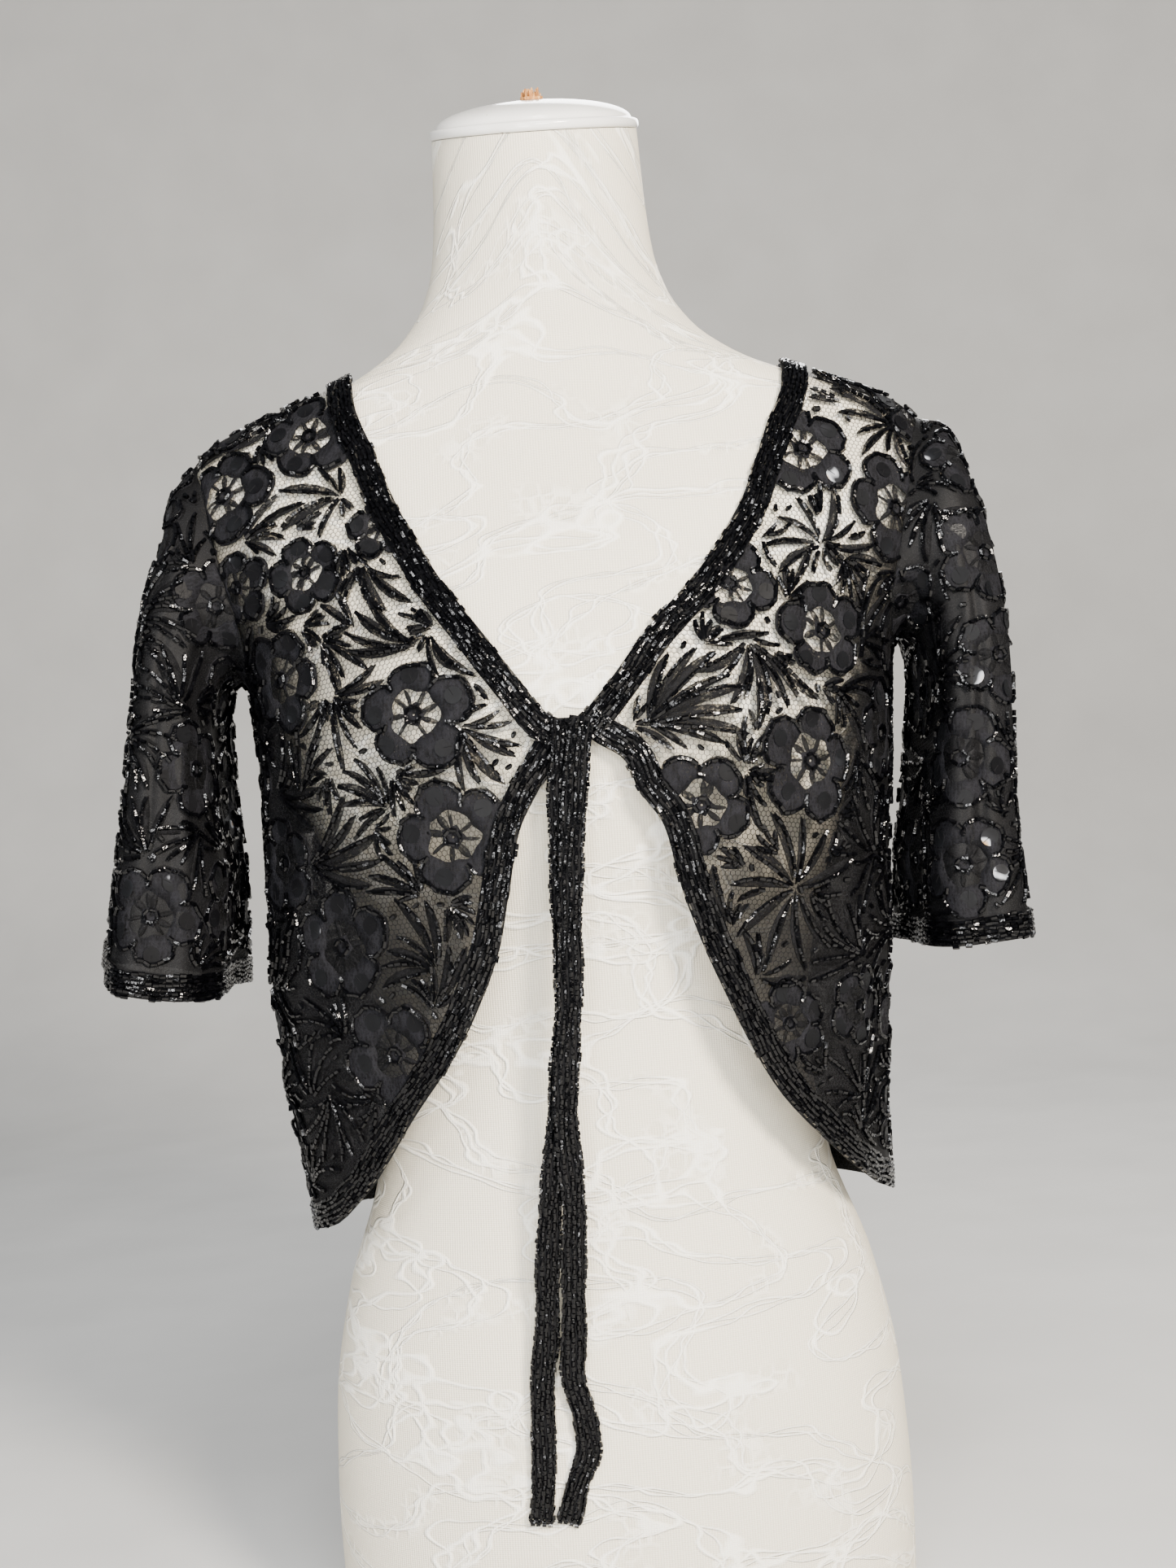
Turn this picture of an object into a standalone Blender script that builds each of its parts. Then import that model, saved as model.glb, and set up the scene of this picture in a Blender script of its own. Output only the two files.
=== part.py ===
"""Beaded lace shrug resting on a limbless dress form, at full size, +Z up.

The front faces -Y. The flat base of the form stands on z = 0, below the middle of the neck.
Sizes are millimetres, and MM turns them to metres. Left and right are as seen from the front.
"""

import math

import bmesh
import bpy
import numpy as np
from mathutils import Matrix

PART_NAME = "beaded_shrug_on_form"
MM = 0.001
LEFT, RIGHT = -1, 1
SIDE_NAMES = {LEFT: "left", RIGHT: "right"}
QUARTER = math.pi / 2

# Cloth, edging and seams
WALL = 1.6
CLOTH_GAP = 1.0  # between the form and the cloth that hugs it
BACK_EASE = 1.2  # the cloth lies this much looser on the back
SEAM = 0.35
EDGING_WIDTH = 13.0
EDGING_SEAT = 0.7
EDGING_PROFILE = (0.9, 2.0, 2.0, 0.9)  # height of the beaded edging across its width
EDGING_TURN = 22.0  # its ends turn into line with the seams over this length
EDGING_STATIONS = 25  # along the neckline and again along the cutaway edge
EDGING_CROWD = 1.6  # closer together near the closure
SEAM_SAMPLES = 80

# Soft general bust, the same on the form and in the cloth over it
BUST_LEVEL = 452.0
BUST_DEPTH = 9.0
BUST_APART = 68.0
BUST_WIDE = 40.0
BUST_TALL = 52.0
CLOTH_FALL = 230.0  # the cloth falls from the bust over this height

# Soft folds of the cloth that hangs free
FOLD_START = 440.0
FOLD_DEPTH = 2.6
FOLD_COUNT = 7
FOLD_TURN = 0.6
FOLD_GROWTH = 1.3  # how late the folds deepen on their way down

# The form, through level rings. The ends of a ring droop below its middle at the shoulders, and
# the rings of the neck lean towards the front.
SECTION_COLUMNS = ("level", "half_width", "front", "back", "square", "droop", "lean", "centre")
FORM_SECTIONS = (
    (0, 144.0, 97, 105, 2.2, 0, 0, 0),
    (60, 145.5, 99, 107, 2.2, 0, 0, 0),
    (120, 143.0, 97, 106, 2.2, 0, 0, 0),
    (175, 133.0, 91, 101, 2.2, 0, 0, 0),
    (230, 115.0, 84, 89, 2.15, 0, 0, 0),
    (290, 108.0, 80, 79, 2.1, 0, 0, 0),
    (345, 116.0, 85, 79, 2.1, 0, 0, 0),
    (400, 133.0, 96, 84, 2.15, 0, 0, 0),
    (440, 146.0, 103, 89, 2.2, 0, 0, 0),
    (470, 152.0, 104, 93, 2.2, 0, 0, 0),
    (500, 165.0, 97, 97, 2.2, 0, 0, 0),
    (530, 182.0, 87, 99, 2.2, 0, 0, 0),
    (556, 188.0, 76, 98, 2.2, 2, 0, 0),
    (578, 187.5, 66, 93, 2.1, 4, 0, 0),
    (598, 184.0, 57, 86, 2.0, 7, 0, 0),
    (612, 174.0, 51, 79, 2.0, 10, 0, 0),
    (624, 156.0, 47, 71, 2.0, 14, 0, 0),
    (634, 135.0, 44, 64, 2.0, 16, 0, 0),
    (643, 113.0, 43, 58, 2.0, 17, 0, 0),
    (651, 94.0, 44, 55, 2.0, 15, 0, 0),
    (661, 76.0, 45, 53, 2.0, 11, 0, 0),
    (674, 63.0, 46, 52, 2.0, 5, 0.02, 0),
    (692, 56.5, 47, 52, 2.0, 1, 0.08, 0),
    (718, 54.0, 48, 51, 2.0, 0, 0.17, 0),
    (754, 52.5, 50, 51, 2.0, 0, 0.275, 0),
)
FORM_AROUND = 44
FORM_LEVELS = (
    0, 45, 90, 135, 175, 215, 250, 290, 330, 370, 405, 435, 455, 475, 495, 513, 530, 546, 560,
    573, 585, 595, 604, 612, 620, 628, 635, 642, 649, 657, 666, 678, 698, 725, 754,
)  # fmt: skip

# The cloth hangs free below the bust and hugs the form above it.
HANGING_SECTIONS = (
    (200, 143.5, 96, 107, 2.2, 0, 0, -2.5),
    (235, 145.0, 98, 106, 2.2, 0, 0, -3.0),
    (270, 148.0, 100, 105, 2.2, 0, 0, -5.0),
    (330, 153.0, 103, 104, 2.2, 0, 0, -5.0),
    (400, 155.5, 105, 102, 2.2, 0, 0, -1.5),
    (450, 157.5, 106, 100, 2.2, 0, 0, 0),
    (480, 160.5, 103, 99, 2.2, 0, 0, 0),
    (505, 169.0, 96.5, 99.5, 2.2, 0, 0, 0),
)
HUGGING_FROM = 530

# Cut of the shrug
HEM_LEVEL = 205.0
UNDERARM_LEVEL = 479.0
TIP_LEVEL = 603.0  # the outer end of the shoulder seam
NECK_POINT_X = {LEFT: 101.0, RIGHT: 117.0}  # the inner end of the shoulder seam
CLOSURE_LEVEL = 449.5
CLOSURE_HALF_GAP = 0.25
FRONT_ARMHOLE = 0.50  # how far the armhole cuts in, in radians round the body
BACK_ARMHOLE = 0.42
BACK_NECK_LEVEL = 633.0
NECK_FOOT_LEVEL = 655.0  # above the inner ends of the shoulder seams

# Edges of the fronts: how far each is from the middle, at a height
NECKLINE = (
    # height, left, right
    (454, 10.9, 5.5),
    (470, 23.0, 20.5),
    (486, 34.1, 33.5),
    (516, 54.3, 62.5),
    (546, 70.4, 84.0),
    (567, 79.9, 94.0),
    (591, 88.2, 104.0),
    (612, 96.0, 113.0),
)
CUTAWAY = (
    # height, left, right
    (441, 4.0, 8.5),
    (430, 11.0, 23.5),
    (418, 19.0, 27.5),
    (400, 28.5, 38.5),
    (374, 34.5, 43.8),
    (350, 40.0, 50.5),
    (320, 52.6, 61.5),
    (300, 64.0, 69.5),
    (273, 84.0, 83.0),
    (250, 99.5, 100.5),
    (231, 114.0, 117.0),
    (216, 130.0, 131.0),
)
SEAM_ROWS = 14
ARMHOLE_ROWS = 14
FRONT_COLUMNS = 13
FRONT_CROWD = 1.4  # the front's rows stand closer together near the shoulder
SHOULDER_ROWS = 8
BACK_COLUMNS = 22
BACK_CROWD = 0.6  # how much closer the back's columns stand near its sides

# Sleeves, through sections from the armhole to the hem, each by its outer and inner ends seen from
# the front and its reach towards front and back
SLEEVE_COLUMNS = ("station", "outer_x", "outer_z", "inner_x", "inner_z", "depth", "middle_y")
SLEEVE_SECTIONS = {
    LEFT: (
        (0, 185, 599, 161, 479, 48, 4),
        (1, 194, 587, 167, 486, 53, 4),
        (2, 201, 559, 175, 482, 58, 3),
        (3, 210, 527, 180, 464, 62, 2),
        (4, 219, 474, 180.5, 431, 66, 1),
        (5, 232, 411, 177.5, 383, 69, 0),
        (6, 243.5, 346, 181, 331, 72, 0),
    ),
    RIGHT: (
        (0, 185, 599, 161, 479, 48, 4),
        (1, 199, 591, 167, 486, 53, 5),
        (2, 209, 562, 174, 482, 58, 6),
        (3, 215.5, 526, 177, 462, 62, 7),
        (4, 219.5, 472, 174, 430, 66, 8),
        (5, 217.5, 404, 167.5, 385, 69, 9),
        (6, 223.5, 334, 162, 330, 72, 10),
    ),
}
SLEEVE_ROWS = 11
SLEEVE_CROWD = 1.15  # its rows stand closer together near the armhole
SLEEVE_FOLDS = 5
SLEEVE_FOLD_DEPTH = 3.6
SLEEVE_FOLD_TURN = {LEFT: 0.4, RIGHT: 1.5}
SLEEVE_FRONT_DROP = {LEFT: 6.0, RIGHT: 1.0}
ARMHOLE_BLEND = 1.6  # stations over which the sleeve leaves the armhole's own line

# Ties, hanging from the closure and lying on the belly
TIE_WIDTH = 11.2
TIE_THICK = 2.8
TIE_FLAT = 0.72  # the flat part of its width, between chamfered edges
TIE_COLUMNS = ("height", "left_x", "right_x", "reach", "lift")
TIE_PATH = (
    # height, x of the left and right tie, how far in front of the middle, right lifted over left
    (452, -4.6, 4.4, 114.6, 3.3),
    (440, -5.0, 2.0, 114.2, 3.3),
    (418, -8.0, -1.0, 112.9, 3.3),
    (384, -9.6, -5.4, 110.8, 3.3),
    (350, -10.5, -8.0, 109.2, 3.3),
    (324, -11.0, -9.6, 107.9, 3.3),
    (300, -14.6, -12.6, 106.6, 3.3),
    (265, -19.2, -15.4, 104.6, 3.3),
    (228, -25.4, -14.6, 102.4, 3.3),
    (203, -28.4, -16.4, 100.9, 3.3),
    (167, -31.4, -18.8, 98.9, 2.8),
    (148, -34.6, -20.4, 98.3, 1.8),
    (129, -35.8, -16.6, 98.2, 1.4),
    (114, -36.4, -15.2, 98.2, 1.4),
    (99, -37.4, -21.2, 98.3, 1.3),
    (82, -39.6, -26.6, 98.4, 1.2),
)
TIE_STATIONS = 37

# Cap on the neck and the stub of wood on it
CAP_RADIUS = 53.6
CAP_RIM = 5.0
CAP_RIM_ROUND = 2.4
CAP_RISE = 12.0
CAP_RISE_STEPS = 8
CAP_AROUND = 30
NECK_TOP = 754.0
NECK_LEAN = 0.275
REST_GAP = 0.3
STUB_RADIUS = 5.8
STUB_HEIGHT = 6.5
STUB_SIDES = 14
STUB_JAG = (0.0, 1.6, 0.5, 1.9, 0.9, 0.2, 1.4)


def smooth_curve(places, values):
    """A smooth curve through the values that never overshoots them, flat past its ends."""
    places = np.asarray(places, float)
    values = np.asarray(values, float)
    step = np.diff(places)
    rise = np.diff(values) / step
    slope = np.zeros_like(values)
    steady = rise[:-1] * rise[1:] > 0
    mean = 2 * rise[:-1] * rise[1:] / np.where(steady, rise[:-1] + rise[1:], 1)
    slope[1:-1] = np.where(steady, mean, 0)
    slope[0] = rise[0]
    slope[-1] = rise[-1]

    def value(place):
        place = np.clip(place, places[0], places[-1])
        low = np.clip(np.searchsorted(places, place, side="right") - 1, 0, len(step) - 1)
        part = (place - places[low]) / step[low]
        rest = 1 - part
        ends = values[low] * (1 + 2 * part) * rest**2 + values[low + 1] * (3 - 2 * part) * part**2
        bend = step[low] * part * rest * (slope[low] * rest - slope[low + 1] * part)
        return ends + bend

    return value


def columns_of(rows, names):
    """A smooth curve for each named column of a table, over its first column."""
    columns = list(zip(*rows))
    return {name: smooth_curve(columns[0], column) for name, column in zip(names, columns)}


def unit(vectors):
    return vectors / np.maximum(np.linalg.norm(vectors, axis=-1, keepdims=True), 1e-9)


class Figure:
    """A skin through level rings, found by its level and its angle from the front centre."""

    def __init__(self, rows, bust_fall, fold_depth):
        self.sizes = columns_of(rows, SECTION_COLUMNS)
        self.bust_fall = bust_fall
        self.fold_depth = fold_depth

    def skin(self, level, angle):
        level = np.asarray(level, float)
        angle = np.asarray(angle, float)
        size = {name: curve(level) for name, curve in self.sizes.items()}
        sine = np.sin(angle)
        cosine = np.cos(angle)
        power = size["square"]
        reach = (np.abs(sine) ** power + np.abs(cosine) ** power) ** (-1 / power)
        hang = np.clip((FOLD_START - level) / (FOLD_START - HEM_LEVEL), 0, 1) ** FOLD_GROWTH
        fold = self.fold_depth * hang * np.cos(FOLD_COUNT * angle + FOLD_TURN)
        depth = np.where(cosine > 0, size["front"], size["back"]) + fold
        x = size["centre"] + (size["half_width"] + fold) * reach * sine
        y = -depth * reach * cosine
        tall = np.where(level > BUST_LEVEL, BUST_TALL, self.bust_fall)
        across = np.exp(-(((np.abs(x) - BUST_APART) / BUST_WIDE) ** 2))
        upright = np.exp(-(((level - BUST_LEVEL) / tall) ** 2))
        y = y - BUST_DEPTH * across * upright * np.maximum(cosine, 0)
        z = level - size["droop"] * sine**2 + size["lean"] * y
        return np.stack(np.broadcast_arrays(x, y, z), axis=-1)

    def slopes(self, level, angle):
        """How the skin moves for each millimetre of level and for each radian."""
        up, turn = 0.5, 0.004
        along = (self.skin(level + up, angle) - self.skin(level - up, angle)) / (2 * up)
        around = (self.skin(level, angle + turn) - self.skin(level, angle - turn)) / (2 * turn)
        return along, around

    def normal(self, level, angle):
        along, around = self.slopes(level, angle)
        return unit(np.cross(around, along))

    def point(self, level, angle, out):
        """A place of the cloth, at a distance out from the form where it hugs it."""
        ease = BACK_EASE * np.sqrt(np.maximum(-np.cos(angle), 0))
        return self.skin(level, angle) + (out + ease)[..., None] * self.normal(level, angle)

    def locate(self, x, z):
        """Level and angle of the front of the skin at x from the middle and height z."""
        level = np.array(z, float)
        for _ in range(30):
            low = np.zeros_like(level)
            high = np.full_like(level, QUARTER)
            for _ in range(30):
                middle = (low + high) / 2
                short = np.abs(self.skin(level, np.sign(x) * middle)[..., 0]) < np.abs(x)
                low = np.where(short, middle, low)
                high = np.where(short, high, middle)
            angle = np.sign(x) * (low + high) / 2
            level = level + (z - self.skin(level, angle)[..., 2])
        return level, angle

    def slide(self, level, angle, move):
        """Walks over the skin from a place by a vector that stays on the skin."""
        steps = 5
        for _ in range(steps):
            along, around = self.slopes(level, angle)
            aa = (along * along).sum(-1)
            ab = (along * around).sum(-1)
            bb = (around * around).sum(-1)
            ma = (move * along).sum(-1) / steps
            mb = (move * around).sum(-1) / steps
            spread = aa * bb - ab * ab
            level = level + (ma * bb - mb * ab) / spread
            angle = angle + (mb * aa - ma * ab) / spread
        return level, angle


FORM = Figure(FORM_SECTIONS, BUST_TALL, 0.0)
CLOTH = Figure(
    HANGING_SECTIONS + tuple(row for row in FORM_SECTIONS if row[0] >= HUGGING_FROM),
    CLOTH_FALL,
    FOLD_DEPTH,
)


def make_material(name, colour, roughness, metallic=0.0):
    material = bpy.data.materials.new(name)
    material.use_nodes = True
    shader = material.node_tree.nodes["Principled BSDF"]
    shader.inputs["Base Color"].default_value = (*colour, 1)
    shader.inputs["Roughness"].default_value = roughness
    shader.inputs["Metallic"].default_value = metallic
    material.diffuse_color = (*colour, 1)
    return material


def finish_mesh(name, mesh, material, smooth_angle=35):
    bmesh.ops.recalc_face_normals(mesh, faces=mesh.faces)
    data = bpy.data.meshes.new(name)
    mesh.to_mesh(data)
    mesh.free()
    data.shade_smooth()
    data.set_sharp_from_angle(angle=math.radians(smooth_angle))
    data.materials.append(material)
    thing = bpy.data.objects.new(name, data)
    bpy.data.collections[PART_NAME].objects.link(thing)
    return thing


def loft(name, rings, material):
    """A closed solid through rings of points, in millimetres, capped at both ends."""
    mesh = bmesh.new()
    made = [[mesh.verts.new(tuple(place * MM)) for place in ring] for ring in rings]
    around = len(made[0])
    for low, high in zip(made, made[1:]):
        for i in range(around):
            k = (i + 1) % around
            mesh.faces.new((low[i], low[k], high[k], high[i]))
    mesh.faces.new(made[0])
    mesh.faces.new(made[-1])
    return finish_mesh(name, mesh, material)


def wall(name, inside, outside, material, tube=False):
    """A closed wall between two grids of points, in millimetres; a tube's rows close on themselves."""
    mesh = bmesh.new()
    grids = [
        [[mesh.verts.new(tuple(place * MM)) for place in row] for row in grid]
        for grid in (inside, outside)
    ]
    rows = len(inside)
    across = len(inside[0])
    last = across if tube else across - 1
    for grid in grids:
        for j in range(rows - 1):
            for i in range(last):
                k = (i + 1) % across
                mesh.faces.new((grid[j][i], grid[j][k], grid[j + 1][k], grid[j + 1][i]))
    inner, outer = grids
    for j in (0, rows - 1):
        for i in range(last):
            k = (i + 1) % across
            mesh.faces.new((inner[j][i], inner[j][k], outer[j][k], outer[j][i]))
    for i in () if tube else (0, across - 1):
        for j in range(rows - 1):
            mesh.faces.new((inner[j][i], inner[j + 1][i], outer[j + 1][i], outer[j][i]))
    return finish_mesh(name, mesh, material)


def patch(bottom, top, start, end, across):
    """Fills the places between four edges, each an array of (level, angle)."""
    s = across[None, :, None]
    t = np.linspace(0, 1, len(start))[:, None, None]
    sides = (1 - s) * start[:, None] + s * end[:, None]
    ends = (1 - t) * bottom[None] + t * top[None]
    corners = (
        (1 - s) * (1 - t) * bottom[0]
        + s * (1 - t) * bottom[-1]
        + (1 - s) * t * top[0]
        + s * t * top[-1]
    )
    return sides + ends - corners


def edge_through(keys, shares):
    """Places along a smooth line through key places (level, angle), at shares of its length."""
    keys = np.asarray(keys, float)
    points = CLOTH.skin(keys[:, 0], keys[:, 1])
    length = np.concatenate([[0], np.cumsum(np.linalg.norm(np.diff(points, axis=0), axis=1))])
    places = shares * length[-1]
    return np.stack([smooth_curve(length, keys[:, k])(places) for k in (0, 1)], axis=1)


def table_edge(side, table):
    """Key places of a front edge from its table of heights and distances from the middle."""
    column = 1 if side == LEFT else 2
    heights = np.array([row[0] for row in table], float)
    distances = np.array([row[column] for row in table], float)
    level, angle = CLOTH.locate(side * distances, heights)
    return np.stack([level, angle], axis=1)


def shoulder_level(side, angle, distance):
    """The level at which the shoulder is at a distance from the middle, at an angle."""
    levels = np.linspace(TIP_LEVEL, NECK_FOOT_LEVEL, 800)
    distances = np.abs(CLOTH.skin(levels, np.full_like(levels, angle))[:, 0])
    return float(levels[np.argmin(np.abs(distances - distance))])


def neck_point_level(side):
    """The level whose ring ends where the shoulder seam meets the neckline."""
    return shoulder_level(side, side * QUARTER, NECK_POINT_X[side])


def seam_turn(level):
    """The angle that leaves half the seam's gap at the side of the body."""
    around = CLOTH.slopes(level, np.full_like(level, QUARTER))[1]
    return SEAM / 2 / np.linalg.norm(around, axis=-1)


def closure_angle(side):
    around = CLOTH.slopes(CLOSURE_LEVEL, 0.0)[1]
    return side * CLOSURE_HALF_GAP / np.linalg.norm(around)


def neckline_places(side, shares):
    """Places from the closure to the neck point."""
    keys = [(CLOSURE_LEVEL, closure_angle(side))]
    keys += list(table_edge(side, NECKLINE))
    level = neck_point_level(side)
    end = side * (QUARTER - float(seam_turn(np.array([level]))[0]))
    start = keys[-1][1]
    distance = NECKLINE[-1][1 if side == LEFT else 2]
    for part in (0.25, 0.5, 0.75):
        angle = start + (end - start) * part
        across = distance + (NECK_POINT_X[side] - distance) * part
        keys.append((shoulder_level(side, angle, across), angle))
    keys.append((level, end))
    return edge_through(keys, shares)


def cutaway_places(side, shares):
    """Places from the closure to the low side corner."""
    keys = [(CLOSURE_LEVEL, closure_angle(side))]
    keys += list(table_edge(side, CUTAWAY))
    keys.append((HEM_LEVEL, side * (QUARTER - float(seam_turn(np.array([HEM_LEVEL]))[0]))))
    return edge_through(keys, shares)


def armhole_places(side, front):
    """Places up the armhole, from the underarm to the shoulder tip."""
    turn = np.linspace(math.pi, 0, ARMHOLE_ROWS + 1)
    middle = (UNDERARM_LEVEL + TIP_LEVEL) / 2
    level = middle + (TIP_LEVEL - UNDERARM_LEVEL) / 2 * np.cos(turn)
    cut = -FRONT_ARMHOLE if front else BACK_ARMHOLE
    gap = -seam_turn(level) if front else seam_turn(level)
    return np.stack([level, side * (QUARTER + cut * np.sin(turn) + gap)], axis=1)


def side_places(side, front):
    """Places up the side of a panel: the side seam, then the armhole."""
    level = np.linspace(HEM_LEVEL, UNDERARM_LEVEL, SEAM_ROWS + 1)[:-1]
    gap = -seam_turn(level) if front else seam_turn(level)
    seam = np.stack([level, side * (QUARTER + gap)], axis=1)
    return np.concatenate([seam, armhole_places(side, front)])


def shoulder_places(side, front, count):
    """Places along the shoulder seam, from the neck point to the tip."""
    level = np.linspace(neck_point_level(side), TIP_LEVEL, count)
    gap = -seam_turn(level) if front else seam_turn(level)
    return np.stack([level, side * (QUARTER + gap)], axis=1)


def front_grid(side):
    """Places of a front panel, rows from the cutaway up, columns from the front edge out."""
    rows = SEAM_ROWS + ARMHOLE_ROWS + 1
    up = np.linspace(0, 1, rows)
    start = neckline_places(side, 1 - (1 - up) ** FRONT_CROWD)
    end = side_places(side, True)
    across = np.linspace(0, 1, FRONT_COLUMNS)
    bottom = cutaway_places(side, across)
    top = shoulder_places(side, True, FRONT_COLUMNS)
    return patch(bottom, top, start, end, across)


def back_neck_places(shares):
    """Places round the back neck, from the left neck point to the right one."""
    left = shoulder_places(LEFT, False, 2)[0]
    right = turned_back(shoulder_places(RIGHT, False, 2))[0]
    places = left + (right - left) * shares[:, None]
    dip = np.sin(math.pi * shares) ** 2
    places[:, 0] += (BACK_NECK_LEVEL - places[:, 0]) * dip
    return places


def turned_back(places):
    """The right side's places again, with angles that go on round the back from the left side."""
    return places - np.array([0.0, 2 * math.pi])


def back_shares():
    """Shares of the way across the back, closer together near its sides."""
    share = np.linspace(0, 1, BACK_COLUMNS + 1)
    return share - BACK_CROWD * np.sin(2 * math.pi * share) / (2 * math.pi)


def back_hem_places(shares):
    start = side_places(LEFT, False)[0]
    end = turned_back(side_places(RIGHT, False))[0]
    return start + (end - start) * shares[:, None]


def back_grid():
    """Places of the back panel, rows from the hem up, columns from the left side to the right."""
    sides = [
        np.concatenate(
            [side_places(side, False), shoulder_places(side, False, SHOULDER_ROWS + 1)[-2::-1]]
        )
        for side in (LEFT, RIGHT)
    ]
    across = back_shares()
    bottom = back_hem_places(across)
    top = back_neck_places(across)
    return patch(bottom, top, sides[0], turned_back(sides[1]), across)


def build_panel(name, grid, material):
    level, angle = grid[..., 0], grid[..., 1]
    inside = CLOTH.point(level, angle, CLOTH_GAP)
    outside = CLOTH.point(level, angle, CLOTH_GAP + WALL)
    return wall(name, inside, outside, material)


def armhole_ring(side, out):
    """Points round the armhole: the top, down the front, the underarm, and up the back."""
    front = armhole_places(side, True)[::-1]
    back = armhole_places(side, False)
    places = np.concatenate([front, back[1:-1]])
    for row in (0, len(front) - 1):
        places[row, 1] = side * QUARTER
    return CLOTH.point(places[:, 0], places[:, 1], out)


class Sleeve:
    """An empty short sleeve, found by its station from the armhole and its turn from the top."""

    def __init__(self, side):
        self.side = side
        self.sizes = columns_of(SLEEVE_SECTIONS[side], SLEEVE_COLUMNS)
        self.hem = SLEEVE_SECTIONS[side][-1][0]
        self.around = 2 * ARMHOLE_ROWS
        turn = np.arange(self.around) * 2 * math.pi / self.around
        self.away = armhole_ring(side, CLOTH_GAP + WALL) - self.section(0.0, turn)

    def section(self, station, turn):
        size = {name: curve(station) for name, curve in self.sizes.items()}
        cosine = np.cos(turn)
        sine = np.sin(turn)
        along = station / self.hem
        fold = SLEEVE_FOLD_DEPTH * along**1.5
        fold = fold * np.cos(SLEEVE_FOLDS * turn + SLEEVE_FOLD_TURN[self.side])
        half_x = (size["outer_x"] - size["inner_x"]) / 2 + fold
        half_z = (size["outer_z"] - size["inner_z"]) / 2
        x = (size["outer_x"] + size["inner_x"]) / 2 + half_x * cosine
        y = size["middle_y"] - (size["depth"] + fold) * sine
        drop = SLEEVE_FRONT_DROP[self.side] * along**3 * np.abs(sine)
        z = (size["outer_z"] + size["inner_z"]) / 2 + half_z * cosine - drop
        return np.stack(np.broadcast_arrays(self.side * x, y, z), axis=-1)

    def skin(self, station, turn):
        station = np.asarray(station, float)
        turn = np.asarray(turn, float)
        leave = np.clip(1 - station / ARMHOLE_BLEND, 0, 1)
        leave = leave**2 * (3 - 2 * leave)
        place = (turn / (2 * math.pi) * self.around) % self.around
        low = np.floor(place).astype(int)
        part = (place - low)[..., None]
        high = self.away[(low + 1) % self.around]
        away = self.away[low % self.around] * (1 - part) + high * part
        return self.section(station, turn) + away * leave[..., None]

    def normal(self, station, turn):
        down = self.skin(station + 0.02, turn) - self.skin(np.maximum(station - 0.02, 0), turn)
        round_it = self.skin(station, turn + 0.1) - self.skin(station, turn - 0.1)
        return unit(self.side * np.cross(round_it, down))

    def grids(self):
        """Inside and outside points of the wall, rows from the armhole to the hem."""
        turn = (np.arange(self.around) * 2 * math.pi / self.around)[None, :]
        rows = np.linspace(0, 1, SLEEVE_ROWS)[:, None] ** SLEEVE_CROWD * self.hem
        outside = self.skin(rows + 0 * turn, turn + 0 * rows)
        normal = self.normal(rows + 0 * turn, turn + 0 * rows)
        inside = outside - WALL * normal
        outside[0] = armhole_ring(self.side, CLOTH_GAP + WALL)
        inside[0] = armhole_ring(self.side, CLOTH_GAP)
        ahead = np.roll(outside[0], -1, 0) - np.roll(outside[0], 1, 0)
        flat = unit(np.cross(ahead, outside[0] - inside[0]))
        inward = outside[0].mean(axis=0) - outside[0]
        flat = flat * np.sign((flat * inward).sum(-1))[:, None]
        outside[0] += SEAM * flat
        inside[0] += SEAM * flat
        return inside, outside

    def cuff_grids(self):
        """Seat and top points of the beaded edging round the hem."""
        turn = (np.arange(self.around) * 2 * math.pi / self.around)[None, :]
        shares = np.linspace(0, 1, len(EDGING_PROFILE))[:, None]
        near = self.skin(self.hem - 0.1 + 0 * turn, turn)
        far = self.skin(self.hem + 0 * turn, turn)
        reach = EDGING_WIDTH * 0.1 / np.linalg.norm(far - near, axis=-1)
        station = self.hem - reach * (1 - shares)
        turn = turn + 0 * station
        skin = self.skin(station, turn)
        normal = self.normal(station, turn)
        height = np.array(EDGING_PROFILE)[:, None, None]
        seat = EDGING_SEAT * normal
        return skin + seat, skin + seat + height * normal


def along_seam(places):
    """The ends of an edging's rows along a seam, each by level and angle."""
    points = CLOTH.skin(places[:, 0], places[:, 1])
    length = np.concatenate([[0], np.cumsum(np.linalg.norm(np.diff(points, axis=0), axis=1))])
    at = EDGING_WIDTH * np.linspace(0, 1, len(EDGING_PROFILE))
    return np.stack([np.interp(at, length, places[:, k]) for k in (0, 1)], axis=1)


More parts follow.
